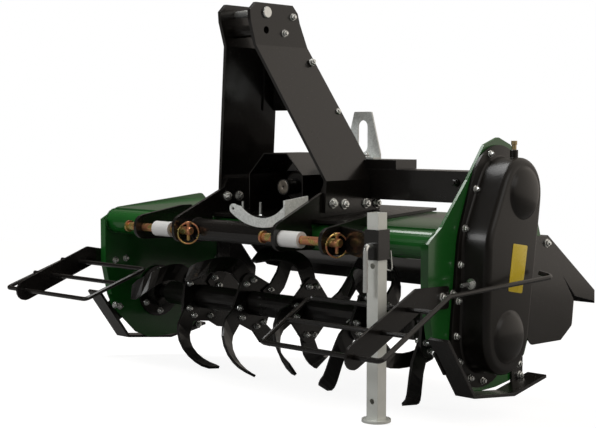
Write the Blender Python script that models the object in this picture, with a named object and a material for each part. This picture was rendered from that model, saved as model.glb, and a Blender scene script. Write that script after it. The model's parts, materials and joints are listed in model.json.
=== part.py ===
"""Rotary tiller for a small tractor's three-point hitch, with side chain drive and twenty tines.

Metres, +Z up, -Y towards the tractor, +X towards the chain case. Every piece is drawn square to the
lower hitch pins (Y = 0, Z = 0 on their line), and the empty named machine then pitches the whole to the
way that it parks, on its tine tips and its stand, with the ground at Z = 0.
"""

import bpy
import bmesh
from math import acos, cos, pi, radians, sin, sqrt
from mathutils import Matrix, Vector

# General sizes
gap = 0.0003                 # between pieces that touch
sink = 0.0015                # how far a welded piece reaches into the one that carries it
overrun = 0.004              # how far a cutter passes its wall
park_pitch_deg = 7.0         # the parked machine leans forward by this
fine_sides = 28              # facets of tubes and domes
round_sides = 24             # of shafts and spacers
bore_sides = 16
hole_sides = 12
rod_sides = 8
wire_sides = 6
arc_steps = 16

# Hitch
pin_radius = 0.011
pin_length = 0.253
pin_head_radius = 0.016
pin_head_thick = 0.006
pin_grip = 0.052             # from the pin's head to the first plate
pin_point = 0.0033
pin_point_share = 0.8
hitch_inner = 0.178          # inner faces of the two hitch plates from the middle
hitch_thick = 0.010
hitch_corner = 0.012
hitch_round = 0.020
clevis_gap = 0.146           # between a hitch plate and the outer clevis plate
clevis_crest_back = 0.140
clevis_rise = 0.0555
clevis_reach = 0.180
clevis_corner = 0.006
clevis_round = 0.014
eye_radius = 0.031
chin_back = 0.1165           # the plates' lowest corner, under the front tube
chin_drop = 0.0365
chin_round = 0.008
spacer_radius = 0.0205
spacer_length = 0.065
spacer_offset = 0.052        # of the right spacer from its clevis plate
hitch_tube_radius = 0.030
hitch_tube_back = 0.0565
hitch_rise = 0.136           # top edge of the hitch plates
hitch_shoulder_rise = 0.109
hitch_shoulder_run = 0.016
hitch_reach = 0.385          # rear end of the hitch plates
hitch_foot_front = 0.155     # where the hitch plate's top edge meets the mast's foot

# Lynch pins, their lengths along the peg measured from the hitch pin's axis
lynch_inset = 0.012
lynch_radius = 0.0045
lynch_head_radius = 0.0085
lynch_foot = 0.026
lynch_neck = 0.016
lynch_shoulder = 0.018
lynch_head = 0.025
ring_radius = 0.0225
ring_wire = 0.0018
ring_top = 0.0215
ring_bow = 0.0026
ring_start_deg = -60
ring_end_deg = 240
ring_step_deg = 15

# Front tube and hood
tube_radius = 0.036
tube_wall = 0.004
tube_back = 0.147
tube_drop = 0.0057
sheet = 0.004
hood_rise = 0.0346           # the hood's top over the front tube's axis
hood_slope = 0.0493          # rise of the hood's top per metre of depth
hood_crest = 0.46            # where the hood's top breaks downwards
hinge_back = 0.617
hinge_drop = 0.030
hinge_rod_radius = 0.006
hinge_clear = 0.0006
knuckle_wall = 0.004
hood_edge_gap = 0.006        # between the hood's rear edge and the tailgate's roll
base_plate_thick = 0.008
base_plate_front = 0.112
base_plate_back = 0.480
base_plate_left = 0.210
base_plate_right = 0.310

# Side plates, as wide apart as the machine
drive_side = 0.565           # outer face of the plate that carries the chain case
plain_side = 0.650
side_thick = 0.008
side_lip = 0.014             # the front edge folded inwards
side_round = 0.012
side_top_round = 0.016

# Rotor
rotor_back = 0.3148
rotor_drop = 0.2338
tine_radius = 0.2125
rotor_tube_radius = 0.035
rotor_shaft_radius = 0.020
rotor_tube_left_inset = 0.075    # from the outer faces of the side plates
rotor_tube_right_inset = 0.060
flange_left_inset = 0.127        # of the outer flanges from the outer faces of the side plates
flange_right_inset = 0.208
flange_thick = 0.008
flange_lobe_radius = 0.034
flange_lobe_reach = 0.058
tine_turn_degs = (0.0, -20.0, -43.0, -113.0, -90.0)   # first tip of each flange, from straight down
tines_per_flange = 4
lobe_steps = 3
tine_width = 0.058
tine_thick = 0.008
tine_root = 0.040
tine_root_share = 0.82       # width of the root to that of the tip
tine_tip_share = 0.72        # width of the tip's end to that of the blade
tine_bend_radius = 0.085
tine_side_reach = 0.080
tine_sweep_deg = 45.0
tine_bend_deg = 72.0
tine_bend_steps = 6
tine_end_share = 0.9
bearing_radius = 0.080
bearing_thick = 0.008
bearing_hub_radius = 0.048
bearing_hub_length = 0.030
bearing_taper_share = 0.9
shaft_clear = 0.0005

# Chain case: circles round the rotor's axis, the upper shaft and the knee between them
drive_back = 0.3775
drive_rise = 0.115
knee_back = 0.262
knee_rise = 0.004
case_flange_radii = (0.134, 0.118, 0.054)
case_wall_radii = (0.096, 0.088, 0.036)
case_flange_thick = 0.008
case_depth = 0.083           # from the side plate to the outer face
case_round = 0.014
case_round_shares = ((1.0, 0.0), (0.3, 0.35), (0.0, 1.1))   # (depth, inset) of the rounded edge
case_sides = 48
dome_radius = 0.062
dome_rise = 0.017
dome_shares = ((0.28, 0.97), (0.62, 0.82), (0.88, 0.58), (1.0, 0.30))   # (rise, radius)
neck_depth_share = 0.62
neck_radius = 0.010
neck_rise = 0.017
breather_radius = 0.0060
breather_cap_radius = 0.0075
breather_rise = 0.012
breather_cap_rise = 0.010

# Gearbox, drive beam, shield and slotted bracket
gearbox_half = 0.0985
gearbox_front = 0.3183
gearbox_back = 0.475
gearbox_rise = 0.176
gearbox_chamfer = 0.022
nose_radius = 0.042
nose_front = 0.255
nose_lip = 0.006
nose_shares = (0.85, 1.0, 1.15)
pto_radius = 0.01745
pto_front = 0.207
pto_chamfer = 0.003
pto_chamfer_share = 0.86
pto_root_share = 0.86
pto_bore_depth = 0.020
spline_count = 6
spline_turns = (-0.30, -0.24, 0.24, 0.30)     # radians either side of a spline's middle
beam_depth = 0.090
beam_height = 0.080
beam_wall = 0.005
beam_bottom = 0.085
notch_reach = 0.030          # how far the notches for the beam pass the plates
saddle_rise = 0.025
saddle_left = 0.100
saddle_right = 0.285
shield_front = 0.174
shield_back_gap = 0.0003       # from the shield to the gearbox's face
shield_half = 0.099
shield_top = 0.207
shield_shoulder = 0.150
shield_flat_half = 0.042
shield_sheet = 0.003
bracket_thick = 0.005
bracket_back = 0.385
bracket_centre = 0.129
bracket_rise = 0.128
bracket_top_half = 0.030
bracket_foot_half = 0.061
bracket_foot = 0.030
bracket_step = 0.012
bracket_corner = 0.005
slot_half = 0.017
slot_low = 0.034
slot_high = 0.088

# Mast: a leg's rows from the top, as (height, share of the way out to the hitch plate, front, back);
# the head's heights count from its pin, the foot's from the hitch pins
mast_thick = 0.010
mast_head = 0.054            # middle of a mast leg's head from the machine's middle
mast_head_rows = (
    (0.024, 0.0, 0.041, 0.179), (0.004, 0.0, 0.020, 0.199), (-0.022, 0.0, 0.022, 0.207),
    (-0.084, 0.0, 0.041, 0.237),
)
mast_foot_rows = ((0.138, 1.0, 0.155, 0.363), (0.056, 1.0, 0.151, 0.375))
mast_pin_back = 0.079
mast_pin_rise = 0.570
mast_pin_radius = 0.0095
mast_pin_head_radius = 0.0152
mast_pin_head = 0.004
mast_pin_half = 0.078
mast_hole_drop = 0.045
mast_spacer_radius = 0.016
brace_sheet = 0.005
brace_high = 0.460
brace_low = 0.322
brace_flange = 0.045
brace_inset = 0.010

# Shaft rest: a crescent between two arcs, with a round tip
rest_outer_centre = (0.0951, 0.2115)
rest_outer = 0.1907
rest_inner_centre = (0.0937, 0.1605)
rest_inner = 0.1158
rest_tip = (-0.006, 0.065)
rest_tip_radius = 0.013
rest_outer_deg = 235.5
rest_inner_deg = 229.5
rest_thick = 0.005
rest_front = 0.0205
rest_tab_back = 0.108
rest_tab_low = (0.0485, 0.066)    # its lower edge in front and behind
rest_tab_high = (0.0925, 0.101)
rest_hole = 0.0045

# Stand
stand_x = 0.520
stand_back = -0.0385
stand_half = 0.016
stand_wall = 0.003
stand_top = 0.082
stand_foot_radius = 0.034
stand_foot_thick = 0.006
stand_foot_share = 0.9
stand_length = 0.4803
stand_holes = (0.008, -0.039, -0.350)
stand_hole_radius = 0.0065
sleeve_wall = 0.004
sleeve_clear = 0.0006
sleeve_low = -0.025
sleeve_high = 0.044
sleeve_bracket_thick = 0.008
sleeve_bracket_high = 0.036
sleeve_bracket_back = 0.050   # where the bracket leaves the clevis plate
lock_radius = 0.006
lock_bend = 0.0096
lock_reach = 0.020
lock_drop = 0.105
lock_tail = 0.018
clip_radius = 0.0018
clip_share = 0.6              # place of the clip along the pin's tail
clip_in = 0.003
clip_out = 0.020
clip_end_out = 0.015
clip_rise = 0.020
clip_drop = 0.060
clip_end_drop = 0.014
clip_bend = 0.006

# Guards: rods at these distances behind the hitch pins and below them, front to rear
guard_rod_radius = 0.006
guard_rows = {
    "left": ((-0.179, -0.224), (-0.083, -0.182), (0.013, -0.141)),
    "right": ((-0.174, -0.187), (-0.079, -0.151), (0.0155, -0.1195)),
}
guard_outer = {"left": 0.080, "right": 0.090}
guard_plate_width = 0.058
guard_plate_thick = 0.006
guard_plate_back = 0.172
guard_plate_drop = 0.130
guard_plate_run = 0.045
guard_plate_round = 0.020
guard_plate_corner = 0.008
guard_plate_share = 0.9
guard_inner_front = 0.275    # how far the rods reach inwards from the side plate
guard_inner_rear = 0.298
guard_middle_share = 0.98
guard_tail_out = 0.135
guard_tail_back = 0.431
guard_tail_drop = 0.092
guard_hook = 0.036
guard_hook_run = 0.008
guard_bend_back = 0.070
guard_bend_drop = 0.110
guard_bend_radius = 0.012

# Skids
skid_width = 0.060
skid_thick = 0.008
skid_points = ((0.092, -0.2205), (0.204, -0.371), (0.380, -0.393), (0.531, -0.369))
skid_lug_thick = 0.006
skid_front_lug = ((0.116, -0.258), (0.158, -0.3145), (0.188, -0.300), (0.170, -0.266), (0.136, -0.246))
skid_rear_lug = (
    (0.452, -0.384), (0.502, -0.376), (0.502, -0.318), (0.490, -0.306), (0.462, -0.306), (0.450, -0.330),
)

# Rear: wings and tailgate, the tailgate's corners measured from its hinge
wing_sheet = 0.004
wing_corner = 0.012
tailgate_sheet = 0.003
tailgate_crest = (0.035, 0.018)
tailgate_end = (0.293, -0.155)
tailgate_lip = (0.294, -0.192)
tailgate_side_gap = 0.0053
tailgate_start = 0.012       # from the crest to the end flange, along the sheet
tailgate_start_depth = 0.030
tailgate_flange_low = ((0.147, -0.127), (0.186, -0.161), (0.2915, -0.186))
tailgate_roll_inset = 0.001

# Outlines, in shares of the tine radius from the rotor's axis: (back, up)
side_front_shares = ((-0.926, 0.037), (-1.027, 0.488), (-1.027, 1.110))
side_low_shares = (
    (-0.832, -0.166), (-0.413, -0.570), (-0.164, -0.683), (0.330, -0.683),
    (0.640, -0.650), (0.960, -0.370), (1.320, 0.430), (1.330, 0.995),
)
drive_top_shares = (
    (-0.973, 1.157), (-0.785, 1.279), (-0.291, 1.797), (0.043, 2.192),
    (0.335, 2.281), (0.611, 2.187), (1.214, 1.286),
)
plain_top_shares = ((-0.720, 1.270), (0.900, 1.408))
wing_shares = (
    (0.900, 1.020), (1.229, 1.062), (1.469, 1.034), (1.516, 0.992), (1.667, 0.705), (2.109, 0.173),
    (2.067, -0.147), (1.794, -0.307), (1.102, -0.279), (0.900, -0.100),
)


# Materials
def material(name, colour, roughness, metallic):
    made = bpy.data.materials.new(name)
    made.use_nodes = True
    shader = made.node_tree.nodes["Principled BSDF"]
    shader.inputs["Base Color"].default_value = (*colour, 1.0)
    shader.inputs["Roughness"].default_value = roughness
    shader.inputs["Metallic"].default_value = metallic
    made.diffuse_color = (*colour, 1.0)
    return made


for old in list(bpy.data.objects):
    bpy.data.objects.remove(old, do_unlink=True)

green_paint = material("green_paint", (0.010, 0.085, 0.025), 0.25, 0.0)
black_paint = material("black_paint", (0.012, 0.012, 0.012), 0.28, 0.0)
case_black = material("case_black", (0.020, 0.018, 0.016), 0.45, 0.0)
tine_steel = material("tine_steel", (0.015, 0.015, 0.016), 0.40, 0.3)
galvanised = material("galvanised", (0.60, 0.62, 0.60), 0.42, 0.8)
yellow_zinc = material("yellow_zinc", (0.70, 0.48, 0.22), 0.30, 0.9)
bare_steel = material("bare_steel", (0.36, 0.34, 0.31), 0.45, 0.9)
brass = material("brass", (0.62, 0.44, 0.17), 0.35, 0.9)


# Frame empties
def empty(name, parent=None, place=(0.0, 0.0, 0.0)):
    made = bpy.data.objects.new(name, None)
    bpy.context.collection.objects.link(made)
    made.location = place
    made.parent = parent
    return made


machine = empty("machine")
machine.rotation_euler.x = radians(park_pitch_deg)
rotor_axis = empty("rotor_axis", machine, (0.0, rotor_back, -rotor_drop))
pto_axis = empty("pto_axis", machine, (0.0, 0.0, drive_rise))
tailgate_axis = empty("tailgate_axis", machine, (0.0, hinge_back, -hinge_drop))
stand_axis = empty("stand_axis", machine, (stand_x, stand_back, 0.0))


# Shape helpers
def node(name, mesh_points, faces, paint, parent=None, smooth_deg=40.0):
    """One object from points and faces, its normals turned outwards."""
    mesh = bpy.data.meshes.new(name)
    mesh.from_pydata([tuple(p) for p in mesh_points], [], faces)
    work = bmesh.new()
    work.from_mesh(mesh)
    bmesh.ops.recalc_face_normals(work, faces=work.faces)
    work.to_mesh(mesh)
    work.free()
    mesh.materials.append(paint)
    mesh.shade_smooth()
    mesh.set_sharp_from_angle(angle=radians(smooth_deg))
    made = bpy.data.objects.new(name, mesh)
    bpy.context.collection.objects.link(made)
    made.parent = parent or machine
    return made


def loft(name, rings, paint, parent=None, closed=False):
    """A skin through rings of equal counts, capped at both ends or closed on itself."""
    count = len(rings[0])
    points = [p for ring in rings for p in ring]
    faces = []
    spans = len(rings) if closed else len(rings) - 1
    for i in range(spans):
        here = i * count
        there = ((i + 1) % len(rings)) * count
        for j in range(count):
            k = (j + 1) % count
            faces.append((here + j, here + k, there + k, there + j))
    if not closed:
        faces.append(tuple(reversed(range(count))))
        faces.append(tuple(range(len(points) - count, len(points))))
    return node(name, points, faces, paint, parent)


def swap(axis, along, a, b):
    """A point at a distance along an axis, with its two other coordinates in order."""
    return {"X": (along, a, b), "Y": (a, along, b), "Z": (a, b, along)}[axis]


def prism(name, outline, low, high, paint, axis="X", parent=None):
    """An outline of two coordinates, extruded along an axis."""
    rings = [[swap(axis, along, a, b) for a, b in outline] for along in (low, high)]
    return loft(name, rings, paint, parent)


def circle(centre, radius, sides=round_sides):
    steps = [2 * pi * i / sides for i in range(sides)]
    return [(centre[0] + radius * cos(t), centre[1] + radius * sin(t)) for t in steps]


def arc(centre, radius, start, end, steps=arc_steps):
    """Points of an arc between two angles, both ends included."""
    turns = [start + (end - start) * i / steps for i in range(steps + 1)]
    return [(centre[0] + radius * cos(t), centre[1] + radius * sin(t)) for t in turns]


def turned(name, axis, centre, profile, paint, parent=None, closed=False, sides=round_sides):
    """A turned piece: profile holds (distance along the axis, radius)."""
    rings = [[swap(axis, along, a, b) for a, b in circle(centre, r, sides)] for along, r in profile]
    return loft(name, rings, paint, parent, closed)


def tube(name, axis, centre, outer, inner, low, high, paint, parent=None, sides=round_sides):
    profile = ((low, outer), (high, outer), (high, inner), (low, inner))
    return turned(name, axis, centre, profile, paint, parent, closed=True, sides=sides)


def rounded(corners, steps=4):
    """An outline whose corners (a, b, radius) are rounded by arcs."""
    outline = []
    total = len(corners)
    for i, (a, b, radius) in enumerate(corners):
        here = Vector((a, b))
        before = Vector(corners[i - 1][:2]) - here
        after = Vector(corners[(i + 1) % total][:2]) - here
        if radius <= 0.0:
            outline.append((a, b))
            continue
        before.normalize()
        after.normalize()
        half = before.angle(after) / 2
        centre = here + (before + after).normalized() * (radius / sin(half))
        start = here + before * (radius / (sin(half) / cos(half))) - centre
        end = here + after * (radius / (sin(half) / cos(half))) - centre
        turn = start.angle_signed(end)
        for s in range(steps + 1):
            arm = start.copy()
            arm.rotate(Matrix.Rotation(-turn * s / steps, 2))
            outline.append(tuple(centre + arm))
    return outline


def with_radius(points, radius):
    return [(a, b, radius) for a, b in points]


def band(line, thick):
    """The outline of a sheet of even thickness, to the left of a line of points."""
    points = [Vector(p) for p in line]
    offset = []
    for i, here in enumerate(points):
        before = (here - points[i - 1]).normalized() if i else None
        after = (points[i + 1] - here).normalized() if i + 1 < len(points) else None
        along = ((before or after) + (after or before)).normalized()
        side = Vector((-along.y, along.x))
        first = before or after
        reach = thick / side.dot(Vector((-first.y, first.x)))
        offset.append(here + side * reach)
    return [tuple(p) for p in points] + [tuple(p) for p in reversed(offset)]


def swept(name, path, radius, paint, parent=None, sides=rod_sides):
    """A round rod along a path of points."""
    points = [Vector(p) for p in path]
    rings = []
    side = None
    for i, here in enumerate(points):
        before = (here - points[i - 1]).normalized() if i else None
        after = (points[i + 1] - here).normalized() if i + 1 < len(points) else None
        along = ((before or after) + (after or before)).normalized()
        if side is None:
            side = along.orthogonal().normalized()
        side = (side - along * side.dot(along)).normalized()
        other = along.cross(side)
        ring = circle((0, 0), 1, sides)
        rings.append([here + side * (radius * a) + other * (radius * b) for a, b in ring])
    return loft(name, rings, paint, parent)


def bent(path, radius, steps=4):
    """A path of points whose inner corners are rounded by a bend radius."""
    points = [Vector(p) for p in path]
    line = [points[0]]
    for i in range(1, len(points) - 1):
        here = points[i]
        before = (points[i - 1] - here).normalized()
        after = (points[i + 1] - here).normalized()
        half = before.angle(after) / 2
        centre = here + (before + after).normalized() * (radius / sin(half))
        reach = radius * cos(half) / sin(half)
        start = here + before * reach - centre
        end = here + after * reach - centre
        turn = start.angle(end)
        for s in range(steps + 1):
            share = s / steps
            arm = start * (sin((1 - share) * turn) / sin(turn)) + end * (sin(share * turn) / sin(turn))
            line.append(centre + arm)
    line.append(points[-1])
    return line


def combine(target, other, kind):
    """A Boolean with another object, which is then only a guide."""
    step = target.modifiers.new(kind.lower() + "_" + other.name, "BOOLEAN")
    step.operation = kind
    step.solver = "EXACT"
    step.object = other
    other.hide_render = True
    other.display_type = "WIRE"
    other.hide_set(True)
    return target


def cut(target, other):
    return combine(target, other, "DIFFERENCE")


def weld(target, other):
    return combine(target, other, "UNION")


def drill(target, axis, centre, radius, one, other, sides=hole_sides, parent=None):
    """A round hole between two faces along an axis, its cutter passing both."""
    profile = ((min(one, other) - overrun, radius), (max(one, other) + overrun, radius))
    name = "drill_" + target.name + "_" + str(len(target.modifiers))
    cutter = turned(name, axis, centre, profile, target.active_material, parent or target.parent, sides=sides)
    return cut(target, cutter)


# Places that several pieces share
def hood_top(back):
    return hood_rise + (back - tube_back) * hood_slope


def base_top(back):
    return hood_top(back) + gap + base_plate_thick


def from_rotor(share):
    return (rotor_back + share[0] * tine_radius, share[1] * tine_radius - rotor_drop)


tube_centre = (tube_back, -tube_drop)
drive_centre = (drive_back, drive_rise)
rotor_centre = (rotor_back, -rotor_drop)
knee_centre = (knee_back, knee_rise)
inner_right = drive_side - side_thick - gap
inner_left = -(plain_side - side_thick - gap)
beam_front = drive_back - beam_depth / 2
beam_back = drive_back + beam_depth / 2
beam_top = beam_bottom + beam_height
hitch_outer = hitch_inner + hitch_thick
clevis_inner = hitch_outer + clevis_gap
clevis_outer = clevis_inner + hitch_thick
roll_radius = hinge_rod_radius + hinge_clear + knuckle_wall
sides_of_machine = ((-1, "right", plain_side), (1, "left", drive_side))


def box_outline(a_low, a_high, b_low, b_high):
    return [(a_low, b_low), (a_high, b_low), (a_high, b_high), (a_low, b_high)]


def clear_beam(target, beam_rise):
    """Notches a plate where the drive beam passes it."""
    outline = box_outline(beam_front - gap, beam_back + overrun, beam_bottom - gap, beam_rise + gap)
    low, high = hitch_inner - notch_reach, hitch_outer + notch_reach
    cut(target, prism("notch_" + target.name, outline, low, high, black_paint))


# Front tube and hood
def make_hood():
    tube("front_tube", "X", tube_centre, tube_radius, tube_radius - tube_wall, inner_left, inner_right,
         green_paint, sides=fine_sides)
    crest = Vector((hood_crest, hood_top(hood_crest)))
    fall = Vector((hinge_back, -hinge_drop)) - crest
    end = crest + fall * (1 - (roll_radius + hood_edge_gap) / fall.length)
    line = [(tube_back, hood_top(tube_back)), tuple(crest), tuple(end)]
    prism("hood", band(line, -sheet), inner_left, inner_right, green_paint)


def make_base_plate():
    front, back = base_plate_front, base_plate_back
    outline = [
        (front, hood_top(front) + gap), (back, hood_top(back) + gap),
        (back, base_top(back)), (front, base_top(front)),
    ]
    prism("gearbox_base_plate", outline, -base_plate_left, base_plate_right, black_paint)


# Side plates
def make_side_plates():
    front = [from_rotor(share) for share in side_front_shares]
    low = [from_rotor(share) for share in side_low_shares]
    tops = {"left": ("side_plate_drive", drive_top_shares), "right": ("side_plate_plain", plain_top_shares)}
    for hand, side, face in sides_of_machine:
        name, shares = tops[side]
        top = [from_rotor(share) for share in shares]
        table = with_radius(reversed(front), 0.0) + with_radius(low, side_round)
        table += with_radius(reversed(top[1:]), side_top_round) + with_radius(top[:1], 0.0)
        inner = hand * (face - side_thick)
        plate = prism(name, rounded(table), inner, hand * face, green_paint)
        lip_inner = hand * (face - side_thick - side_lip)
        lip = prism(name + "_lip", band(front, -sheet), lip_inner, hand * (face - sink), green_paint)
        weld(plate, lip)


# Hitch
def hitch_eye():
    corner = eye_radius - gap
    return [(-eye_radius, -eye_radius, corner), (-eye_radius, eye_radius, corner)]


def make_hitch():
    step = base_plate_front - gap
    chin = [(*tube_centre, 0.0), (chin_back, -chin_drop, chin_round)]
    inner_outline = rounded([
        *hitch_eye(),
        (hitch_foot_front, hitch_shoulder_rise, hitch_round),
        (hitch_foot_front + hitch_shoulder_run, hitch_rise, hitch_corner),
        (hitch_reach, hitch_rise, hitch_corner), (hitch_reach, base_top(hitch_reach) + gap, 0.0),
        (step, base_top(step) + gap, 0.0), (step, -tube_drop, 0.0), *chin,
    ])
    outer_outline = rounded([
        *hitch_eye(),
        (clevis_crest_back, clevis_rise, clevis_round), (clevis_reach, clevis_rise, clevis_corner),
        (clevis_reach, hood_top(clevis_reach) + gap, 0.0),
        (tube_back - gap, hood_top(tube_back) + gap, 0.0), *chin,
    ])
    for hand, side, _ in sides_of_machine:
        plates = (
            ("hitch_plate_", inner_outline, hand * hitch_inner, hand * hitch_outer),
            ("clevis_plate_", outer_outline, hand * clevis_inner, hand * clevis_outer),
        )
        for name, outline, near, far in plates:
            plate = prism(name + side, outline, near, far, black_paint)
            drill(plate, "X", tube_centre, tube_radius + gap, near, far, sides=fine_sides)
            drill(plate, "X", (0.0, 0.0), pin_radius + gap, near, far, sides=bore_sides)
            if hand > 0 and outline is inner_outline:
                clear_beam(plate, beam_top)
    tube("hitch_cross_tube", "X", (hitch_tube_back, 0.0), hitch_tube_radius, hitch_tube_radius - tube_wall,
         -hitch_inner + gap, hitch_inner - gap, black_paint)


def make_pins():
    starts = (("right", -clevis_outer - pin_grip), ("left", hitch_inner - pin_grip))
    for side, start in starts:
        end = start + pin_length
        profile = (
            (start - pin_head_thick, pin_head_radius), (start, pin_head_radius), (start, pin_radius),
            (end - pin_point, pin_radius), (end, pin_radius * pin_point_share),
        )
        pin = turned("hitch_pin_" + side, "X", (0.0, 0.0), profile, yellow_zinc, sides=bore_sides)
        peg_x = end - lynch_inset
        drill(pin, "Z", (peg_x, 0.0), lynch_radius + gap, -pin_radius, pin_radius, sides=rod_sides)
        profile = (
            (-lynch_foot, lynch_radius), (lynch_neck, lynch_radius),
            (lynch_shoulder, lynch_head_radius), (lynch_head, lynch_head_radius),
        )
        lynch = turned("lynch_pin_" + side, "Z", (peg_x, 0.0), profile, yellow_zinc, sides=rod_sides)
        path = []
        for turn in range(ring_start_deg, ring_end_deg + 1, ring_step_deg):
            t = radians(turn)
            rise = ring_top - ring_radius + ring_radius * sin(t)
            path.append((peg_x + ring_bow * cos(t), ring_radius * cos(t), rise))
        weld(lynch, swept("lynch_ring_" + side, path, ring_wire, yellow_zinc, sides=wire_sides))
    places = (("right", -clevis_inner + spacer_offset), ("left", hitch_outer + gap))
    for side, low in places:
        tube("spacer_" + side, "X", (0.0, 0.0), spacer_radius, pin_radius + gap, low, low + spacer_length,
             galvanised)


# Mast
def mast_middle(share):
    """The middle of a mast leg's thickness, at a share of the way out to the hitch plate."""
    foot = hitch_outer + gap + mast_thick / 2
    return mast_head + share * (foot - mast_head)


def mast_edges(height):
    """The rear edge of a mast leg and its middle, at a height between its two bends."""
    high, low = mast_head_rows[-1], mast_foot_rows[0]
    share = (mast_pin_rise + high[0] - height) / (mast_pin_rise + high[0] - low[0])
    return high[3] + share * (low[3] - high[3]), mast_middle(share)


def make_mast():
    half = mast_thick / 2
    rows = [(mast_pin_rise + row[0], *row[1:]) for row in mast_head_rows] + list(mast_foot_rows)
    for hand, side, _ in sides_of_machine:
        rings = []
        for height, share, front, back in rows:
            x = hand * mast_middle(share)
            rings.append([(a, b, height) for a, b in box_outline(x - half, x + half, front, back)])
        leg = loft("mast_leg_" + side, rings, black_paint)
        for drop in (0.0, mast_hole_drop):
            near, far = hand * mast_head - mast_thick, hand * mast_head + mast_thick
            centre = (mast_pin_back, mast_pin_rise - drop)
            drill(leg, "X", centre, mast_pin_radius + gap, near, far, sides=bore_sides)
        if hand > 0:
            clear_beam(leg, beam_top + saddle_rise)
    reach = mast_pin_half
    profile = (
        (-reach - mast_pin_head, mast_pin_head_radius), (-reach, mast_pin_head_radius),
        (-reach, mast_pin_radius), (reach - mast_pin_head, mast_pin_radius),
        (reach, mast_pin_radius * pin_point_share),
    )
    turned("top_pin", "X", (mast_pin_back, mast_pin_rise), profile, black_paint, sides=bore_sides)
    end = mast_head - half - gap
    tube("top_spacer", "X", (mast_pin_back, mast_pin_rise - mast_hole_drop), mast_spacer_radius,
         mast_pin_radius, -end, end, black_paint, sides=bore_sides)


def make_brace():
    rings = []
    for height in (brace_high, brace_low):
        back, middle = mast_edges(height)
        wide = middle - mast_thick / 2 - gap * 2
        rear = back - brace_inset
        front = rear - brace_flange
        inner = rear - brace_sheet
        thin = wide - brace_sheet
        rings.append([(x, y, height) for x, y in (
            (-wide, front), (-wide, rear), (wide, rear), (wide, front),
            (thin, front), (thin, inner), (-thin, inner), (-thin, front),
        )])
    loft("mast_brace", rings, black_paint)


# Gearbox and drive
def make_gearbox():
    c = gearbox_chamfer
    front, back, high = gearbox_front, gearbox_back, gearbox_rise
    outline = [
        (front, base_top(front) + gap), (back, base_top(back) + gap), (back, high - c),
        (back - c, high), (front + c, high), (front, high - c),
    ]
    body = prism("gearbox", outline, -gearbox_half, gearbox_half, case_black)
    backs = (nose_front, nose_front + nose_lip, front + sink)
    profile = [(back, nose_radius * share) for back, share in zip(backs, nose_shares)]
    weld(body, turned("gearbox_nose", "Y", (0.0, drive_rise), profile, case_black))
    bore_end = nose_front + pto_bore_depth - overrun
    drill(body, "Y", (0.0, drive_rise), pto_radius + shaft_clear, nose_front, bore_end, sides=round_sides)
    outline = []
    for i in range(spline_count):
        middle = 2 * pi * i / spline_count
        for turn, share in zip(spline_turns, (pto_root_share, 1.0, 1.0, pto_root_share)):
            outline.append((middle + turn, share * pto_radius))
    nose_end = nose_front + pto_bore_depth - shaft_clear
    rings = []
    for back, share in ((pto_front, pto_chamfer_share), (pto_front + pto_chamfer, 1.0), (nose_end, 1.0)):
        rings.append([(r * share * cos(t), back, r * share * sin(t)) for t, r in outline])
    loft("pto_shaft", rings, bare_steel, pto_axis)


def make_beam():
    front, back, low, high = beam_front, beam_back, beam_bottom, beam_top
    wall = beam_wall
    outer = box_outline(front, back, low, high)
    inner = box_outline(front + wall, back - wall, low + wall, high - wall)
    ends = (gearbox_half + gap, inner_right)
    rings = []
    for shape, x in ((outer, ends[0]), (outer, ends[1]), (inner, ends[1]), (inner, ends[0])):
        rings.append([(x, y, z) for y, z in shape])
    loft("drive_beam", rings, black_paint, closed=True)
    saddle = box_outline(front, back, high + gap, high + saddle_rise)
    prism("beam_saddle", saddle, saddle_left, saddle_right, black_paint)


def make_bracket():
    foot = beam_top + saddle_rise + gap
    middle, low_half, top_half = bracket_centre, bracket_foot_half, bracket_top_half
    face = rounded([
        (middle - low_half, foot, 0.0), (middle + low_half, foot, 0.0),
        (middle + low_half, foot + bracket_step, bracket_corner),
        (middle + top_half, foot + bracket_rise, bracket_corner),
        (middle - top_half, foot + bracket_rise, bracket_corner),
        (middle - low_half, foot + bracket_step, bracket_corner),
    ])
    near, far = bracket_back, bracket_back + bracket_thick
    bracket = prism("slotted_bracket", face, near, far, galvanised, axis="Y")
    base = box_outline(bracket_back - bracket_foot, bracket_back + sink, foot, foot + bracket_thick)
    weld(bracket, prism("bracket_base", base, middle - low_half, middle + low_half, galvanised))
    low, high = foot + slot_low - slot_half, foot + slot_high + slot_half
    slot = box_outline(middle - slot_half, middle + slot_half, low, high)
    slot = rounded(with_radius(slot, slot_half - gap))
    cut(bracket, prism("bracket_slot", slot, near - overrun, far + overrun, galvanised, axis="Y"))


def make_shield():
    rings = []
    for back in (shield_front, gearbox_front - shield_back_gap):
        foot = base_top(back) + gap
        line = [
            (shield_half, foot), (shield_half, shield_shoulder), (shield_flat_half, shield_top),
            (-shield_flat_half, shield_top), (-shield_half, shield_shoulder), (-shield_half, foot),
        ]
        rings.append([(a, back, b) for a, b in band(line, shield_sheet)])
    loft("pto_shield", rings, black_paint)


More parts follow.
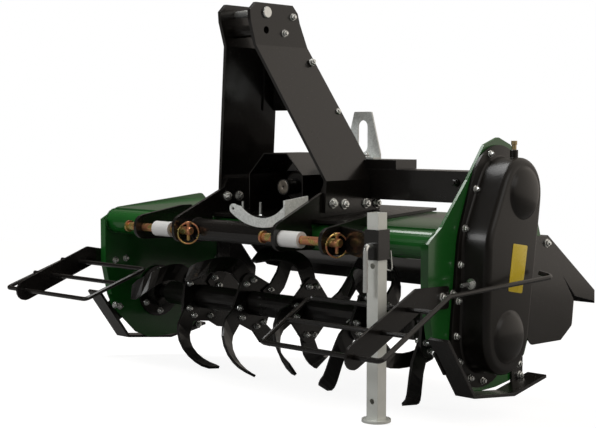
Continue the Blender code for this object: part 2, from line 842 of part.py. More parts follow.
def make_shaft_rest():
    side = hitch_inner - gap
    outer_end = 2 * pi - acos((side - rest_outer_centre[0]) / rest_outer)
    inner_end = 2 * pi - acos((side - rest_inner_centre[0]) / rest_inner)
    tip_end = radians(rest_outer_deg)
    outline = arc(rest_outer_centre, rest_outer, tip_end, outer_end)
    outline += arc(rest_inner_centre, rest_inner, inner_end, radians(rest_inner_deg))
    outline += arc(rest_tip, rest_tip_radius, tip_end - pi, tip_end, steps=8)[:-1]
    near, far = rest_front, rest_front + rest_thick
    rest = prism("shaft_rest", outline, near, far, galvanised, axis="Y")
    tab_outline = [
        (rest_front, rest_tab_low[0]), (rest_tab_back, rest_tab_low[1]),
        (rest_tab_back, rest_tab_high[1]), (rest_front, rest_tab_high[0]),
    ]
    weld(rest, prism("rest_tab", tab_outline, side - rest_thick, side, galvanised))
    drill(rest, "Y", rest_tip, rest_hole, near, far)


# Chain case
def case_outline(radii, inset=0.0):
    """The outline round both shafts and the knee, at a radius for each."""
    centres = [Vector(c) for c in (rotor_centre, drive_centre, knee_centre)]
    outline = []
    for i in range(case_sides):
        way = Vector((cos(2 * pi * i / case_sides), sin(2 * pi * i / case_sides)))
        reaches = [c.dot(way) + r for c, r in zip(centres, case_flange_radii)]
        k = reaches.index(max(reaches))
        outline.append(tuple(centres[k] + way * (radii[k] - inset)))
    return outline


def make_case():
    flange = drive_side + gap
    face = drive_side + case_depth
    rings = []
    for x in (flange, flange + case_flange_thick):
        rings.append([(x, *p) for p in case_outline(case_flange_radii)])
    rings.append([(flange + case_flange_thick, *p) for p in case_outline(case_wall_radii)])
    for depth, inset in case_round_shares:
        ring = case_outline(case_wall_radii, case_round * inset)
        rings.append([(face - case_round * depth, *p) for p in ring])
    case = loft("chain_case", rings, case_black)
    for label, centre in (("low", rotor_centre), ("high", drive_centre)):
        profile = [(face - sink, dome_radius)]
        profile += [(face + dome_rise * rise, dome_radius * share) for rise, share in dome_shares]
        weld(case, turned("case_dome_" + label, "X", centre, profile, case_black, sides=fine_sides))
    top = drive_rise + case_wall_radii[1]
    centre = (drive_side + case_depth * neck_depth_share, drive_back)
    profile = ((top - neck_radius, neck_radius), (top + neck_rise, neck_radius))
    weld(case, turned("breather_neck", "Z", centre, profile, case_black, sides=bore_sides))
    foot = top + neck_rise + gap
    shoulder = foot + breather_rise
    profile = (
        (foot, breather_radius), (shoulder, breather_radius), (shoulder, breather_cap_radius),
        (shoulder + breather_cap_rise, breather_cap_radius),
    )
    turned("breather", "Z", centre, profile, brass, sides=hole_sides)


# Rotor
def blade(name, flange_x, angle, hand):
    """One tine: a leg on the flange's face that sweeps back and turns sideways at its tip."""
    half_width = tine_width / 2
    half_thick = tine_thick / 2
    tip = sqrt(tine_radius ** 2 - half_width ** 2) - half_thick
    face = flange_thick / 2 + half_thick - sink
    bend = radians(tine_bend_deg)
    side_run = tine_bend_radius * (1 - cos(bend))
    left = tine_side_reach - side_run
    bend_start = tip - tine_bend_radius * sin(bend) - (left - tine_thick) * cos(bend)
    stations = [(tine_root, face, 0.0), ((tine_root + bend_start) / 2, face, 0.0)]
    for i in range(tine_bend_steps + 1):
        turn = bend * i / tine_bend_steps
        reach = bend_start + tine_bend_radius * sin(turn)
        stations.append((reach, face + tine_bend_radius * (1 - cos(turn)), turn))
    stations.append((tip, stations[-1][1] + left * tine_end_share - half_thick, bend))
    rings = []
    for reach, side, turn in stations:
        share = (reach - tine_root) / (tip - tine_root)
        way = angle + radians(tine_sweep_deg) * share ** 2
        out = Vector((0.0, cos(way), sin(way)))
        ahead = Vector((0.0, -sin(way), cos(way)))
        normal = Vector((hand * cos(turn), 0.0, 0.0)) - out * sin(turn)
        middle = Vector((flange_x + hand * side, 0.0, 0.0)) + out * reach
        wide = half_width * (tine_root_share + (1 - tine_root_share) * min(1.0, share * 2))
        if share >= 1.0:
            wide = half_width * tine_tip_share
        ring = []
        for a, b in ((-1, -1), (1, -1), (1, 1), (-1, 1)):
            ring.append(middle + ahead * (wide * a) + normal * (half_thick * b))
        rings.append(ring)
    return loft(name, rings, tine_steel, rotor_axis)


def flange_outline(phase):
    """A round-lobed plate, one lobe for each tine."""
    outline = []
    spread = pi / tines_per_flange
    for k in range(tines_per_flange):
        middle = phase + 2 * pi * k / tines_per_flange
        centre = (flange_lobe_reach * cos(middle), flange_lobe_reach * sin(middle))
        outline += arc(centre, flange_lobe_radius, middle - spread, middle + spread, steps=2 * lobe_steps)
    return outline


def make_rotor():
    left = rotor_tube_left_inset - plain_side
    right = drive_side - rotor_tube_right_inset
    profile = (
        (inner_left + gap, rotor_shaft_radius), (left, rotor_shaft_radius), (left, rotor_tube_radius),
        (right, rotor_tube_radius), (right, rotor_shaft_radius), (inner_right - gap, rotor_shaft_radius),
    )
    turned("rotor_tube", "X", (0.0, 0.0), profile, tine_steel, rotor_axis)
    half = flange_thick / 2
    first = flange_right_inset - plain_side
    pitch = (drive_side - flange_left_inset - first) / (len(tine_turn_degs) - 1)
    for i, turn_deg in enumerate(tine_turn_degs):
        x = first + i * pitch
        phase = radians(270.0 - park_pitch_deg + turn_deg - tine_sweep_deg)
        outline = flange_outline(phase)
        name = "tine_flange_" + str(i + 1)
        flange = prism(name, outline, x - half, x + half, tine_steel, parent=rotor_axis)
        for k in range(tines_per_flange):
            hand = 1 if k % 2 == 0 else -1
            turn = phase + 2 * pi * k / tines_per_flange
            weld(flange, blade("tine_" + str(i + 1) + "_" + str(k + 1), x, turn, hand))
        near, far = x - tine_thick * 2, x + tine_thick * 2
        drill(flange, "X", (0.0, 0.0), rotor_tube_radius + gap, near, far, sides=round_sides)
    for name, hand, face in (("bearing_plain", -1, -inner_left), ("bearing_drive", 1, inner_right)):
        plate = hand * (face - bearing_thick)
        hub = hand * (face - bearing_hub_length)
        bore = rotor_shaft_radius + shaft_clear
        profile = (
            (hand * face, bearing_radius), (plate, bearing_radius), (plate, bearing_hub_radius),
            (hub, bearing_hub_radius * bearing_taper_share), (hub, bore), (hand * face, bore),
        )
        turned(name, "X", rotor_centre, profile, black_paint, closed=True)


# Rear
def make_wings():
    outline = rounded(with_radius([from_rotor(share) for share in wing_shares], wing_corner), steps=3)
    hinge = (hinge_back, -hinge_drop)
    for hand, side, face in sides_of_machine:
        near = hand * (face + gap)
        far = near + hand * wing_sheet
        wing = prism("wing_" + side, outline, near, far, black_paint)
        drill(wing, "X", hinge, hinge_rod_radius + gap, near, far)
    ends = ((-(plain_side + wing_sheet), hinge_rod_radius), (drive_side + wing_sheet, hinge_rod_radius))
    turned("tailgate_rod", "X", hinge, ends, galvanised, sides=hole_sides)


def make_tailgate():
    low, high = inner_left + tailgate_side_gap, inner_right - tailgate_side_gap
    crest, end = Vector(tailgate_crest), Vector(tailgate_end)
    along = (end - crest).normalized()
    down = Vector((along.y, -along.x))
    half = tailgate_sheet / 2
    line = [(0.0, roll_radius - tailgate_roll_inset), tailgate_crest, tailgate_end, tailgate_lip]
    gate = prism("tailgate", band(line, -tailgate_sheet), low, high, black_paint, parent=tailgate_axis)
    ends = ((low, roll_radius), (high, roll_radius))
    roll = turned("tailgate_roll", "X", (0.0, 0.0), ends, black_paint, tailgate_axis, sides=bore_sides)
    weld(gate, roll)
    start = crest + along * tailgate_start
    outline = [tuple(start + down * half), tuple(start + down * tailgate_start_depth)]
    outline += list(tailgate_flange_low)
    outline.append((tailgate_flange_low[-1][0], end.y))
    for label, x in (("right", low), ("left", high - tailgate_sheet)):
        name = "tailgate_end_" + label
        weld(gate, prism(name, outline, x, x + tailgate_sheet, black_paint, parent=tailgate_axis))
    drill(gate, "X", (0.0, 0.0), hinge_rod_radius + hinge_clear, low, high, parent=tailgate_axis)


# Skids
def make_skids():
    line = list(reversed(skid_points))
    for hand, side, face in sides_of_machine:
        near = hand * (face + gap)
        lug_far = near + hand * skid_lug_thick
        bar = prism("skid_" + side, band(line, -skid_thick), lug_far - hand * sink, near + hand * skid_width,
                    black_paint)
        for label, outline in (("front", skid_front_lug), ("rear", skid_rear_lug)):
            weld(bar, prism("skid_lug_" + label + "_" + side, outline, near, lug_far, black_paint))


# Guards
def guard_outline(start, end):
    """The plate that carries the rods: a band with a round nose, bent back to the side plate."""
    half = guard_plate_width / 2
    along = (end - start).normalized()
    up = Vector((-along.y, along.x))
    bend = end + along * guard_plate_run
    table = [
        (*(start + up * half), 0.0), (*(bend + up * half), guard_plate_round),
        (guard_plate_back, half - guard_plate_drop, guard_plate_corner),
        (guard_plate_back, -half * guard_plate_share - guard_plate_drop, guard_plate_corner),
        (*(bend - up * half), guard_plate_round), (*(start - up * half), 0.0),
    ]
    outline = rounded(table)
    for i in range(1, 8):
        t = pi - pi * i / 8
        outline.append(tuple(start + up * (cos(t) * half) - along * (sin(t) * half)))
    return outline


def make_guards():
    for hand, side, face in sides_of_machine:
        front, middle, rear = guard_rows[side]
        near = hand * (face + gap)
        far = near + hand * guard_plate_thick
        outline = guard_outline(Vector(front), Vector(rear))
        plate = prism("guard_plate_" + side, outline, near, far, black_paint)
        for centre in (front, middle, rear):
            drill(plate, "X", centre, guard_rod_radius + gap, near, far, sides=bore_sides)
        inner_front = hand * (face - guard_inner_front)
        inner_rear = hand * (face - guard_inner_rear)
        outer = hand * (face + guard_outer[side])
        tail = hand * (face + guard_tail_out)
        hook = (tail - hand * guard_hook, guard_tail_back - guard_hook_run, guard_hook_run - guard_tail_drop)
        path = bent([
            (outer - hand * (guard_rod_radius + gap), *rear), (inner_rear, *rear), (inner_front, *front),
            (outer, *front), (outer, guard_bend_back, -guard_bend_drop),
            (tail, guard_tail_back, -guard_tail_drop), hook,
        ], guard_bend_radius)
        rods = swept("guard_rods_" + side, path, guard_rod_radius, black_paint)
        share = (middle[0] - rear[0]) / (front[0] - rear[0])
        inner_middle = inner_rear + (inner_front - inner_rear) * share
        line = [(inner_middle, *middle), (outer, *middle)]
        name = "guard_middle_rod_" + side
        weld(rods, swept(name, line, guard_rod_radius * guard_middle_share, black_paint))


# Stand
def square(half, rise, centre=(0.0, 0.0)):
    ways = ((-1, -1), (1, -1), (1, 1), (-1, 1))
    return [(centre[0] + a * half, centre[1] + b * half, rise) for a, b in ways]


def make_sleeve():
    inner = stand_half + sleeve_clear
    outer = inner + sleeve_wall
    left, front = stand_x - outer, stand_back - outer
    middle = (stand_x, stand_back)
    rings = [
        square(outer, sleeve_low, middle), square(outer, sleeve_high, middle),
        square(inner, sleeve_high, middle), square(inner, sleeve_low, middle),
    ]
    sleeve = loft("stand_sleeve", rings, black_paint, closed=True)
    thick = sleeve_bracket_thick
    rear = sleeve_bracket_back
    shape = [
        (clevis_outer + gap, rear), (clevis_outer + gap, rear - thick), (left + sink, front),
        (left + sink, front + thick * 2),
    ]
    weld(sleeve, prism("sleeve_bracket", shape, sleeve_low, sleeve_bracket_high, black_paint, axis="Z"))
    centre = (stand_x, stand_holes[0])
    drill(sleeve, "Y", centre, lock_radius + gap, front, stand_back + outer)


def make_stand():
    bottom = stand_top - stand_length
    hollow = stand_half - stand_wall
    floor = bottom + stand_foot_thick
    rings = [
        square(stand_half, floor - sink), square(stand_half, stand_top),
        square(hollow, stand_top), square(hollow, floor - sink),
    ]
    leg = loft("stand_leg", rings, galvanised, stand_axis, closed=True)
    for rise in stand_holes:
        drill(leg, "Y", (0.0, rise), stand_hole_radius, -stand_half, stand_half)
    radius = stand_foot_radius
    profile = ((bottom, radius), (floor, radius), (floor, radius * stand_foot_share))
    weld(leg, turned("stand_foot", "Z", (0.0, 0.0), profile, galvanised, stand_axis))


def make_lock_pin():
    outer = stand_half + sleeve_clear + sleeve_wall
    front, back = stand_back - outer, stand_back + outer
    hole = stand_holes[0]
    path = bent([
        (stand_x, front + sleeve_wall - gap, hole), (stand_x, front - lock_reach, hole),
        (stand_x, front - lock_reach, hole - lock_drop),
    ], lock_bend)
    swept("lock_pin_handle", path, lock_radius, galvanised)
    path = [(stand_x, back - sleeve_wall + gap, hole), (stand_x, back + lock_tail, hole)]
    tail = swept("lock_pin_tail", path, lock_radius, galvanised)
    clip_back = back + lock_tail * clip_share
    path = bent([
        (stand_x + clip_in, clip_back, hole + clip_rise), (stand_x + clip_in, clip_back, hole - clip_drop),
        (stand_x + clip_out, clip_back, hole - clip_drop),
        (stand_x + clip_end_out, clip_back, hole - clip_end_drop),
    ], clip_bend, steps=3)
    weld(tail, swept("lock_clip", path, clip_radius, galvanised, sides=wire_sides))


def stand_on_ground():
    """Moves the machine so that it rests at Z = 0, with the middle of its box over the origin."""
    bpy.context.view_layer.update()
    graph = bpy.context.evaluated_depsgraph_get()
    corners = []
    for thing in bpy.data.objects:
        if thing.type != "MESH" or thing.hide_render:
            continue
        shape = thing.evaluated_get(graph)
        corners += [shape.matrix_world @ v.co for v in shape.data.vertices]
    low = Vector([min(c[i] for c in corners) for i in range(3)])
    high = Vector([max(c[i] for c in corners) for i in range(3)])
    machine.location -= Vector(((low.x + high.x) / 2, (low.y + high.y) / 2, low.z))
    bpy.context.view_layer.update()


make_hood()
make_base_plate()
make_side_plates()
make_hitch()
make_pins()
make_mast()
make_brace()
make_gearbox()
make_beam()
make_bracket()
make_shield()
make_shaft_rest()
make_case()
make_rotor()
make_wings()
make_tailgate()
make_skids()
make_guards()
make_sleeve()
make_stand()
make_lock_pin()
stand_on_ground()
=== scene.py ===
import json
import bmesh
import bpy
from math import cos, pi, radians, sin
from mathutils import Euler, Matrix, Vector


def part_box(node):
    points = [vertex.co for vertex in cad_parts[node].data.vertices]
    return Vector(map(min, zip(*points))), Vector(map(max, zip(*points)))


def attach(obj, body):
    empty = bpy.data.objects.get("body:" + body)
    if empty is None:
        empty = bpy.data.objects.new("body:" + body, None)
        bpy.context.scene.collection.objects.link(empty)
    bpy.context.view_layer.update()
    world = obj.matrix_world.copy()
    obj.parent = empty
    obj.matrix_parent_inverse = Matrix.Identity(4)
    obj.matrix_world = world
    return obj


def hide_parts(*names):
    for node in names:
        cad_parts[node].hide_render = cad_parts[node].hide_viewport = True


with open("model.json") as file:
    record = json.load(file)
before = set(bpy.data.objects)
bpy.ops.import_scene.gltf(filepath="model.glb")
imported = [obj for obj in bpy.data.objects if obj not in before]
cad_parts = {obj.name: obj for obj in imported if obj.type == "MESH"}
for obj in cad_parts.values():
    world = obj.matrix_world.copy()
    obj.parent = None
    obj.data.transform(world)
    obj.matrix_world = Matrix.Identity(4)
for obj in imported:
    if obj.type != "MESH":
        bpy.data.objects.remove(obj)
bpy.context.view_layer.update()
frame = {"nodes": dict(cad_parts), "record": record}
print("frame loaded:", len(frame["nodes"]), "nodes")

# the hitch pins give the machine's place, and it leans forward as parked
machineLook = {"parkPitch": 7.0}


def middleOf(*names):
    corners = [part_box(name) for name in names]
    low = Vector([min(c[0][i] for c in corners) for i in range(3)])
    high = Vector([max(c[1][i] for c in corners) for i in range(3)])
    return (low + high) / 2


pinLine = middleOf("spacer_left", "spacer_right")
hitchMiddle = middleOf("hitch_plate_left", "hitch_plate_right")
machineTurn = Matrix.Rotation(radians(machineLook["parkPitch"]), 4, "X")
machinePlace = Matrix.Translation((hitchMiddle.x, pinLine.y, pinLine.z)) @ machineTurn


def onMachine(point):
    # machine places: x across from the hitch's middle, y back from the hitch pins, z up from them
    return machinePlace @ Vector(point)


def fromWorld(point):
    return machinePlace.inverted() @ Vector(point)


def machineWay(direction):
    return (machineTurn.to_3x3() @ Vector(direction)).normalized()


# node helpers
def mathNode(tree, operation, first, second=None, third=None):
    node = tree.nodes.new("ShaderNodeMath")
    node.operation = operation
    for socket, value in zip(node.inputs, (first, second, third)):
        if isinstance(value, (int, float)):
            socket.default_value = value
        elif value is not None:
            tree.links.new(value, socket)
    return node.outputs[0]


def noiseNode(tree, scale, detail, vector, roughness=0.55):
    node = tree.nodes.new("ShaderNodeTexNoise")
    node.inputs["Detail"].default_value = detail
    node.inputs["Roughness"].default_value = roughness
    if isinstance(scale, (int, float)):
        node.inputs["Scale"].default_value = scale
    else:
        tree.links.new(scale, node.inputs["Scale"])
    tree.links.new(vector, node.inputs["Vector"])
    return node.outputs[0]


def rampNode(tree, factor, stops):
    node = tree.nodes.new("ShaderNodeValToRGB")
    ramp = node.color_ramp
    while len(ramp.elements) < len(stops):
        ramp.elements.new(0.5)
    for element, (place, colour) in zip(ramp.elements, stops):
        element.position = place
        element.color = (*colour, 1.0)
    tree.links.new(factor, node.inputs["Fac"])
    return node.outputs["Color"]


def mixColours(tree, factor, first, second):
    node = tree.nodes.new("ShaderNodeMix")
    node.data_type = "RGBA"
    for socket, value in ((node.inputs[0], factor), (node.inputs[6], first), (node.inputs[7], second)):
        if isinstance(value, tuple):
            socket.default_value = (*value, 1.0)
        else:
            tree.links.new(value, socket)
    return node.outputs[2]


def spreadNode(tree, value, low, high):
    node = tree.nodes.new("ShaderNodeMapRange")
    node.inputs["To Min"].default_value = low
    node.inputs["To Max"].default_value = high
    tree.links.new(value, node.inputs["Value"])
    return node.outputs["Result"]


# camera and light
cameraLook = {
    "place": (2.244, -2.192, 0.270), "yaw": 42.414, "down": 3.978, "lens": 73.45, "sensor": 36.0,
    "clipStart": 0.05, "clipEnd": 60.0,
}
lightTarget = (0.0, 0.0, 0.4)
lightLook = {
    "topBox": {"place": (-0.7, -0.5, 3.1), "size": 2.4, "depth": 1.1, "power": 45.0},
    "rightBox": {"place": (3.2, -0.6, 2.0), "size": 1.8, "depth": 1.4, "power": 7.0},
    "frontBox": {"place": (-0.9, -4.0, 1.5), "size": 1.6, "depth": 1.0, "power": 42.0},
}
worldLook = {
    "seen": 1.0, "strength": 1.0, "brightWay": (0.62, 0.60, 0.50), "tint": (1.0, 0.915, 0.825),
    "glow": ((0.0, 0.04), (0.42, 0.08), (0.56, 0.18), (0.76, 0.44), (0.93, 0.74)),
}


def makeCamera():
    camera = bpy.data.objects.new("photoCamera", bpy.data.cameras.new("photoCamera"))
    bpy.context.collection.objects.link(camera)
    turn = Euler((radians(90.0 - cameraLook["down"]), 0.0, radians(cameraLook["yaw"]))).to_matrix().to_4x4()
    camera.matrix_world = machinePlace @ Matrix.Translation(cameraLook["place"]) @ turn
    camera.data.lens = cameraLook["lens"]
    camera.data.sensor_width = cameraLook["sensor"]
    camera.data.clip_start = cameraLook["clipStart"]
    camera.data.clip_end = cameraLook["clipEnd"]
    bpy.context.scene.camera = camera


def makeLights():
    target = Vector(lightTarget)
    for name, values in lightLook.items():
        lamp = bpy.data.lights.new(name, "AREA")
        lamp.shape = "RECTANGLE"
        lamp.size = values["size"]
        lamp.size_y = values["depth"]
        lamp.energy = values["power"]
        light = bpy.data.objects.new(name, lamp)
        light.location = values["place"]
        light.rotation_euler = (target - Vector(values["place"])).to_track_quat("-Z", "Y").to_euler()
        bpy.context.collection.objects.link(light)


def makeWorld():
    # a room with its bright wall behind and to the right; the camera itself sees plain white
    world = bpy.data.worlds.new("studioWorld")
    bpy.context.scene.world = world
    world.use_nodes = True
    tree = world.node_tree
    tree.nodes.clear()
    output = tree.nodes.new("ShaderNodeOutputWorld")
    blend = tree.nodes.new("ShaderNodeMixShader")
    rays = tree.nodes.new("ShaderNodeLightPath")
    seen = tree.nodes.new("ShaderNodeBackground")
    lit = tree.nodes.new("ShaderNodeBackground")
    seen.inputs["Strength"].default_value = worldLook["seen"]
    seen.inputs["Color"].default_value = (1.0, 1.0, 1.0, 1.0)
    lit.inputs["Strength"].default_value = worldLook["strength"]
    toward = tree.nodes.new("ShaderNodeVectorMath")
    toward.operation = "DOT_PRODUCT"
    toward.inputs[1].default_value = Vector(worldLook["brightWay"]).normalized()
    tree.links.new(tree.nodes.new("ShaderNodeTexCoord").outputs["Generated"], toward.inputs[0])
    # 0 away from the bright wall, 1 towards it
    share = mathNode(tree, "MULTIPLY_ADD", toward.outputs["Value"], 0.5, 0.5)
    glow = [(place, tuple(level * c for c in worldLook["tint"])) for place, level in worldLook["glow"]]
    tree.links.new(rampNode(tree, share, glow), lit.inputs["Color"])
    tree.links.new(rays.outputs["Is Camera Ray"], blend.inputs["Fac"])
    tree.links.new(lit.outputs["Background"], blend.inputs[1])
    tree.links.new(seen.outputs["Background"], blend.inputs[2])
    tree.links.new(blend.outputs["Shader"], output.inputs["Surface"])


makeCamera()
makeLights()
makeWorld()
bpy.context.scene.view_settings.view_transform = "Standard"
print("camera and lights set")


# shader groups that several finishes share
def newGroup(name, numbers, outputs):
    group = bpy.data.node_groups.new(name, "ShaderNodeTree")
    for label, value in numbers.items():
        socket = group.interface.new_socket(label, in_out="INPUT", socket_type="NodeSocketFloat")
        socket.default_value = value
    for label, kind in outputs.items():
        group.interface.new_socket(label, in_out="OUTPUT", socket_type="NodeSocket" + kind)
    return group, group.nodes.new("NodeGroupInput"), group.nodes.new("NodeGroupOutput")


wearLook = {"samples": 4, "gain": 7.0, "detail": 4.0}
grainLook = {
    "rippleDetail": 1.0, "cloudDetail": 5.0, "fineShare": 0.8, "fineDetail": 2.0,
    "speckFrom": 0.70, "speckGain": 6.0,
}
dustLook = {"detail": 6.0}


def makeEdgeWear():
    # worn or rounded edges: a mask where a bevelled normal leaves the true one, and that normal
    group, given, result = newGroup("edgeWear", {"Width": 0.0012, "Breakup": 60.0, "Amount": 0.6},
                                    {"Mask": "Float", "Normal": "Vector"})
    place = group.nodes.new("ShaderNodeTexCoord").outputs["Object"]
    bevel = group.nodes.new("ShaderNodeBevel")
    bevel.samples = wearLook["samples"]
    group.links.new(given.outputs["Width"], bevel.inputs["Radius"])
    shape = group.nodes.new("ShaderNodeNewGeometry")
    dot = group.nodes.new("ShaderNodeVectorMath")
    dot.operation = "DOT_PRODUCT"
    group.links.new(bevel.outputs["Normal"], dot.inputs[0])
    group.links.new(shape.outputs["Normal"], dot.inputs[1])
    bend = mathNode(group, "SUBTRACT", 1.0, dot.outputs["Value"])
    edge = mathNode(group, "MULTIPLY", bend, wearLook["gain"])
    patches = noiseNode(group, given.outputs["Breakup"], wearLook["detail"], place)
    share = mathNode(group, "MULTIPLY", patches, given.outputs["Amount"])
    broken = mathNode(group, "MULTIPLY", edge, share)
    clamp = group.nodes.new("ShaderNodeClamp")
    group.links.new(broken, clamp.inputs["Value"])
    group.links.new(clamp.outputs["Result"], result.inputs["Mask"])
    group.links.new(bevel.outputs["Normal"], result.inputs["Normal"])
    return group


def makeSprayGrain():
    # sprayed paint: fine ripple for the bump, slow cloudy patches for colour and gloss, and few specks
    group, given, result = newGroup("sprayGrain", {"Ripple": 260.0, "Cloud": 5.0},
                                    {"Height": "Float", "Cloud": "Float", "Specks": "Float"})
    place = group.nodes.new("ShaderNodeTexCoord").outputs["Object"]
    ripple = noiseNode(group, given.outputs["Ripple"], grainLook["rippleDetail"], place)
    cloud = noiseNode(group, given.outputs["Cloud"], grainLook["cloudDetail"], place)
    group.links.new(ripple, result.inputs["Height"])
    group.links.new(cloud, result.inputs["Cloud"])
    fineScale = mathNode(group, "MULTIPLY", given.outputs["Ripple"], grainLook["fineShare"])
    fine = noiseNode(group, fineScale, grainLook["fineDetail"], place)
    above = mathNode(group, "SUBTRACT", fine, grainLook["speckFrom"])
    specks = mathNode(group, "MULTIPLY", above, grainLook["speckGain"])
    clamp = group.nodes.new("ShaderNodeClamp")
    group.links.new(specks, clamp.inputs["Value"])
    group.links.new(clamp.outputs["Result"], result.inputs["Specks"])
    return group


def makeDustFilm():
    # dust that settles on what faces up
    group, given, result = newGroup("dustFilm", {"Amount": 0.3, "Scale": 18.0}, {"Mask": "Float"})
    place = group.nodes.new("ShaderNodeTexCoord").outputs["Object"]
    shape = group.nodes.new("ShaderNodeNewGeometry")
    split = group.nodes.new("ShaderNodeSeparateXYZ")
    group.links.new(shape.outputs["Normal"], split.inputs[0])
    up = mathNode(group, "MAXIMUM", split.outputs["Z"], 0.0)
    cloud = noiseNode(group, given.outputs["Scale"], dustLook["detail"], place)
    mask = mathNode(group, "MULTIPLY", mathNode(group, "MULTIPLY", up, cloud), given.outputs["Amount"])
    group.links.new(mask, result.inputs["Mask"])
    return group


edgeWear = makeEdgeWear()
sprayGrain = makeSprayGrain()
dustFilm = makeDustFilm()


def newFinish(name):
    made = bpy.data.materials.new(name)
    made.use_nodes = True
    return made, made.node_tree, made.node_tree.nodes["Principled BSDF"]


def placeGroup(tree, group, **values):
    node = tree.nodes.new("ShaderNodeGroup")
    node.node_tree = group
    for label, value in values.items():
        node.inputs[label].default_value = value
    return node.outputs


def addBump(tree, shader, height, normal, strength, distance):
    bump = tree.nodes.new("ShaderNodeBump")
    bump.inputs["Strength"].default_value = strength
    bump.inputs["Distance"].default_value = distance
    tree.links.new(height, bump.inputs["Height"])
    tree.links.new(normal, bump.inputs["Normal"])
    tree.links.new(bump.outputs["Normal"], shader.inputs["Normal"])


# paints: body colour, its darker patches, the colour of rubbed edges, and the range of roughness
paintLook = {
    "greenPaint": {
        "colour": (0.0135, 0.138, 0.0200), "deep": (0.0084, 0.084, 0.0126), "worn": (0.05, 0.17, 0.06),
        "rough": (0.14, 0.26), "coat": 0.5, "gloss": 0.42, "bump": 0.05, "dust": 0.03, "edge": 0.4,
    },
    "blackPaint": {
        "colour": (0.0076, 0.0064, 0.0053), "deep": (0.0036, 0.0030, 0.0025), "worn": (0.07, 0.066, 0.060),
        "rough": (0.18, 0.32), "coat": 0.30, "gloss": 0.45, "bump": 0.06, "dust": 0.03, "edge": 0.35,
    },
    "caseBlack": {
        "colour": (0.0076, 0.0062, 0.0048), "deep": (0.0050, 0.0041, 0.0032), "worn": (0.06, 0.055, 0.050),
        "rough": (0.26, 0.38), "coat": 0.12, "gloss": 0.32, "bump": 0.14, "dust": 0.03, "edge": 0.35,
    },
    "tineSteel": {
        "colour": (0.0072, 0.0064, 0.0058), "deep": (0.0032, 0.0028, 0.0026), "worn": (0.14, 0.135, 0.13),
        "rough": (0.20, 0.36), "coat": 0.25, "gloss": 0.45, "bump": 0.10, "dust": 0.03, "edge": 0.7,
    },
}
sprayLook = {
    "dust": (0.22, 0.20, 0.17), "dustRough": 0.5, "speckRough": 0.3, "coatRough": 0.10, "bumpDeep": 0.0006,
}


def makePaint(name):
    values = paintLook[name]
    made, tree, shader = newFinish(name)
    grain = placeGroup(tree, sprayGrain)
    wear = placeGroup(tree, edgeWear, Amount=values["edge"])
    dust = placeGroup(tree, dustFilm, Amount=values["dust"])
    body = mixColours(tree, grain["Cloud"], values["deep"], values["colour"])
    worn = mixColours(tree, wear["Mask"], body, values["worn"])
    dusty = mixColours(tree, dust["Mask"], worn, sprayLook["dust"])
    tree.links.new(dusty, shader.inputs["Base Color"])
    spread = spreadNode(tree, grain["Cloud"], *values["rough"])
    dustRough = mathNode(tree, "MULTIPLY", dust["Mask"], sprayLook["dustRough"])
    rougher = mathNode(tree, "ADD", spread, dustRough)
    speckled = mathNode(tree, "MULTIPLY_ADD", grain["Specks"], sprayLook["speckRough"], rougher)
    tree.links.new(speckled, shader.inputs["Roughness"])
    shader.inputs["Coat Weight"].default_value = values["coat"]
    shader.inputs["Coat Roughness"].default_value = sprayLook["coatRough"]
    shader.inputs["Specular IOR Level"].default_value = values["gloss"]
    addBump(tree, shader, grain["Height"], wear["Normal"], values["bump"], sprayLook["bumpDeep"])
    return made


# plated and bare metals
metalLook = {
    "galvanised": {
        "dark": (0.64, 0.67, 0.65), "light": (0.88, 0.91, 0.89), "rough": (0.30, 0.46), "metal": 0.18,
        "spangle": 260.0, "cells": 0.5, "bump": 0.06,
    },
    "rolledZinc": {
        "dark": (0.70, 0.73, 0.68), "light": (0.88, 0.90, 0.86), "rough": (0.26, 0.40), "metal": 0.18,
        "spangle": 34.0, "cells": 0.12, "bump": 0.04,
    },
    "paleSleeve": {
        "dark": (0.74, 0.75, 0.74), "light": (0.88, 0.88, 0.87), "rough": (0.30, 0.42), "metal": 0.10,
        "spangle": 40.0, "cells": 0.1, "bump": 0.03,
    },
    "shinyZinc": {
        "dark": (0.66, 0.69, 0.68), "light": (0.94, 0.96, 0.94), "rough": (0.12, 0.22), "metal": 0.85,
        "spangle": 90.0, "cells": 0.15, "bump": 0.03,
    },
    "bareSteel": {
        "dark": (0.15, 0.132, 0.108), "light": (0.29, 0.257, 0.213), "rough": (0.30, 0.50), "metal": 0.6,
        "spangle": 70.0, "cells": 0.4, "bump": 0.08,
    },
    "brassFitting": {
        "dark": (0.34, 0.25, 0.12), "light": (0.60, 0.47, 0.25), "rough": (0.22, 0.42), "metal": 0.8,
        "spangle": 60.0, "cells": 0.3, "bump": 0.05,
    },
}
crystalLook = {
    "cloudShare": 0.12, "cloudDetail": 6.0, "edge": 0.4, "darkTo": 0.15, "lightFrom": 0.75,
    "bumpDeep": 0.0003,
}


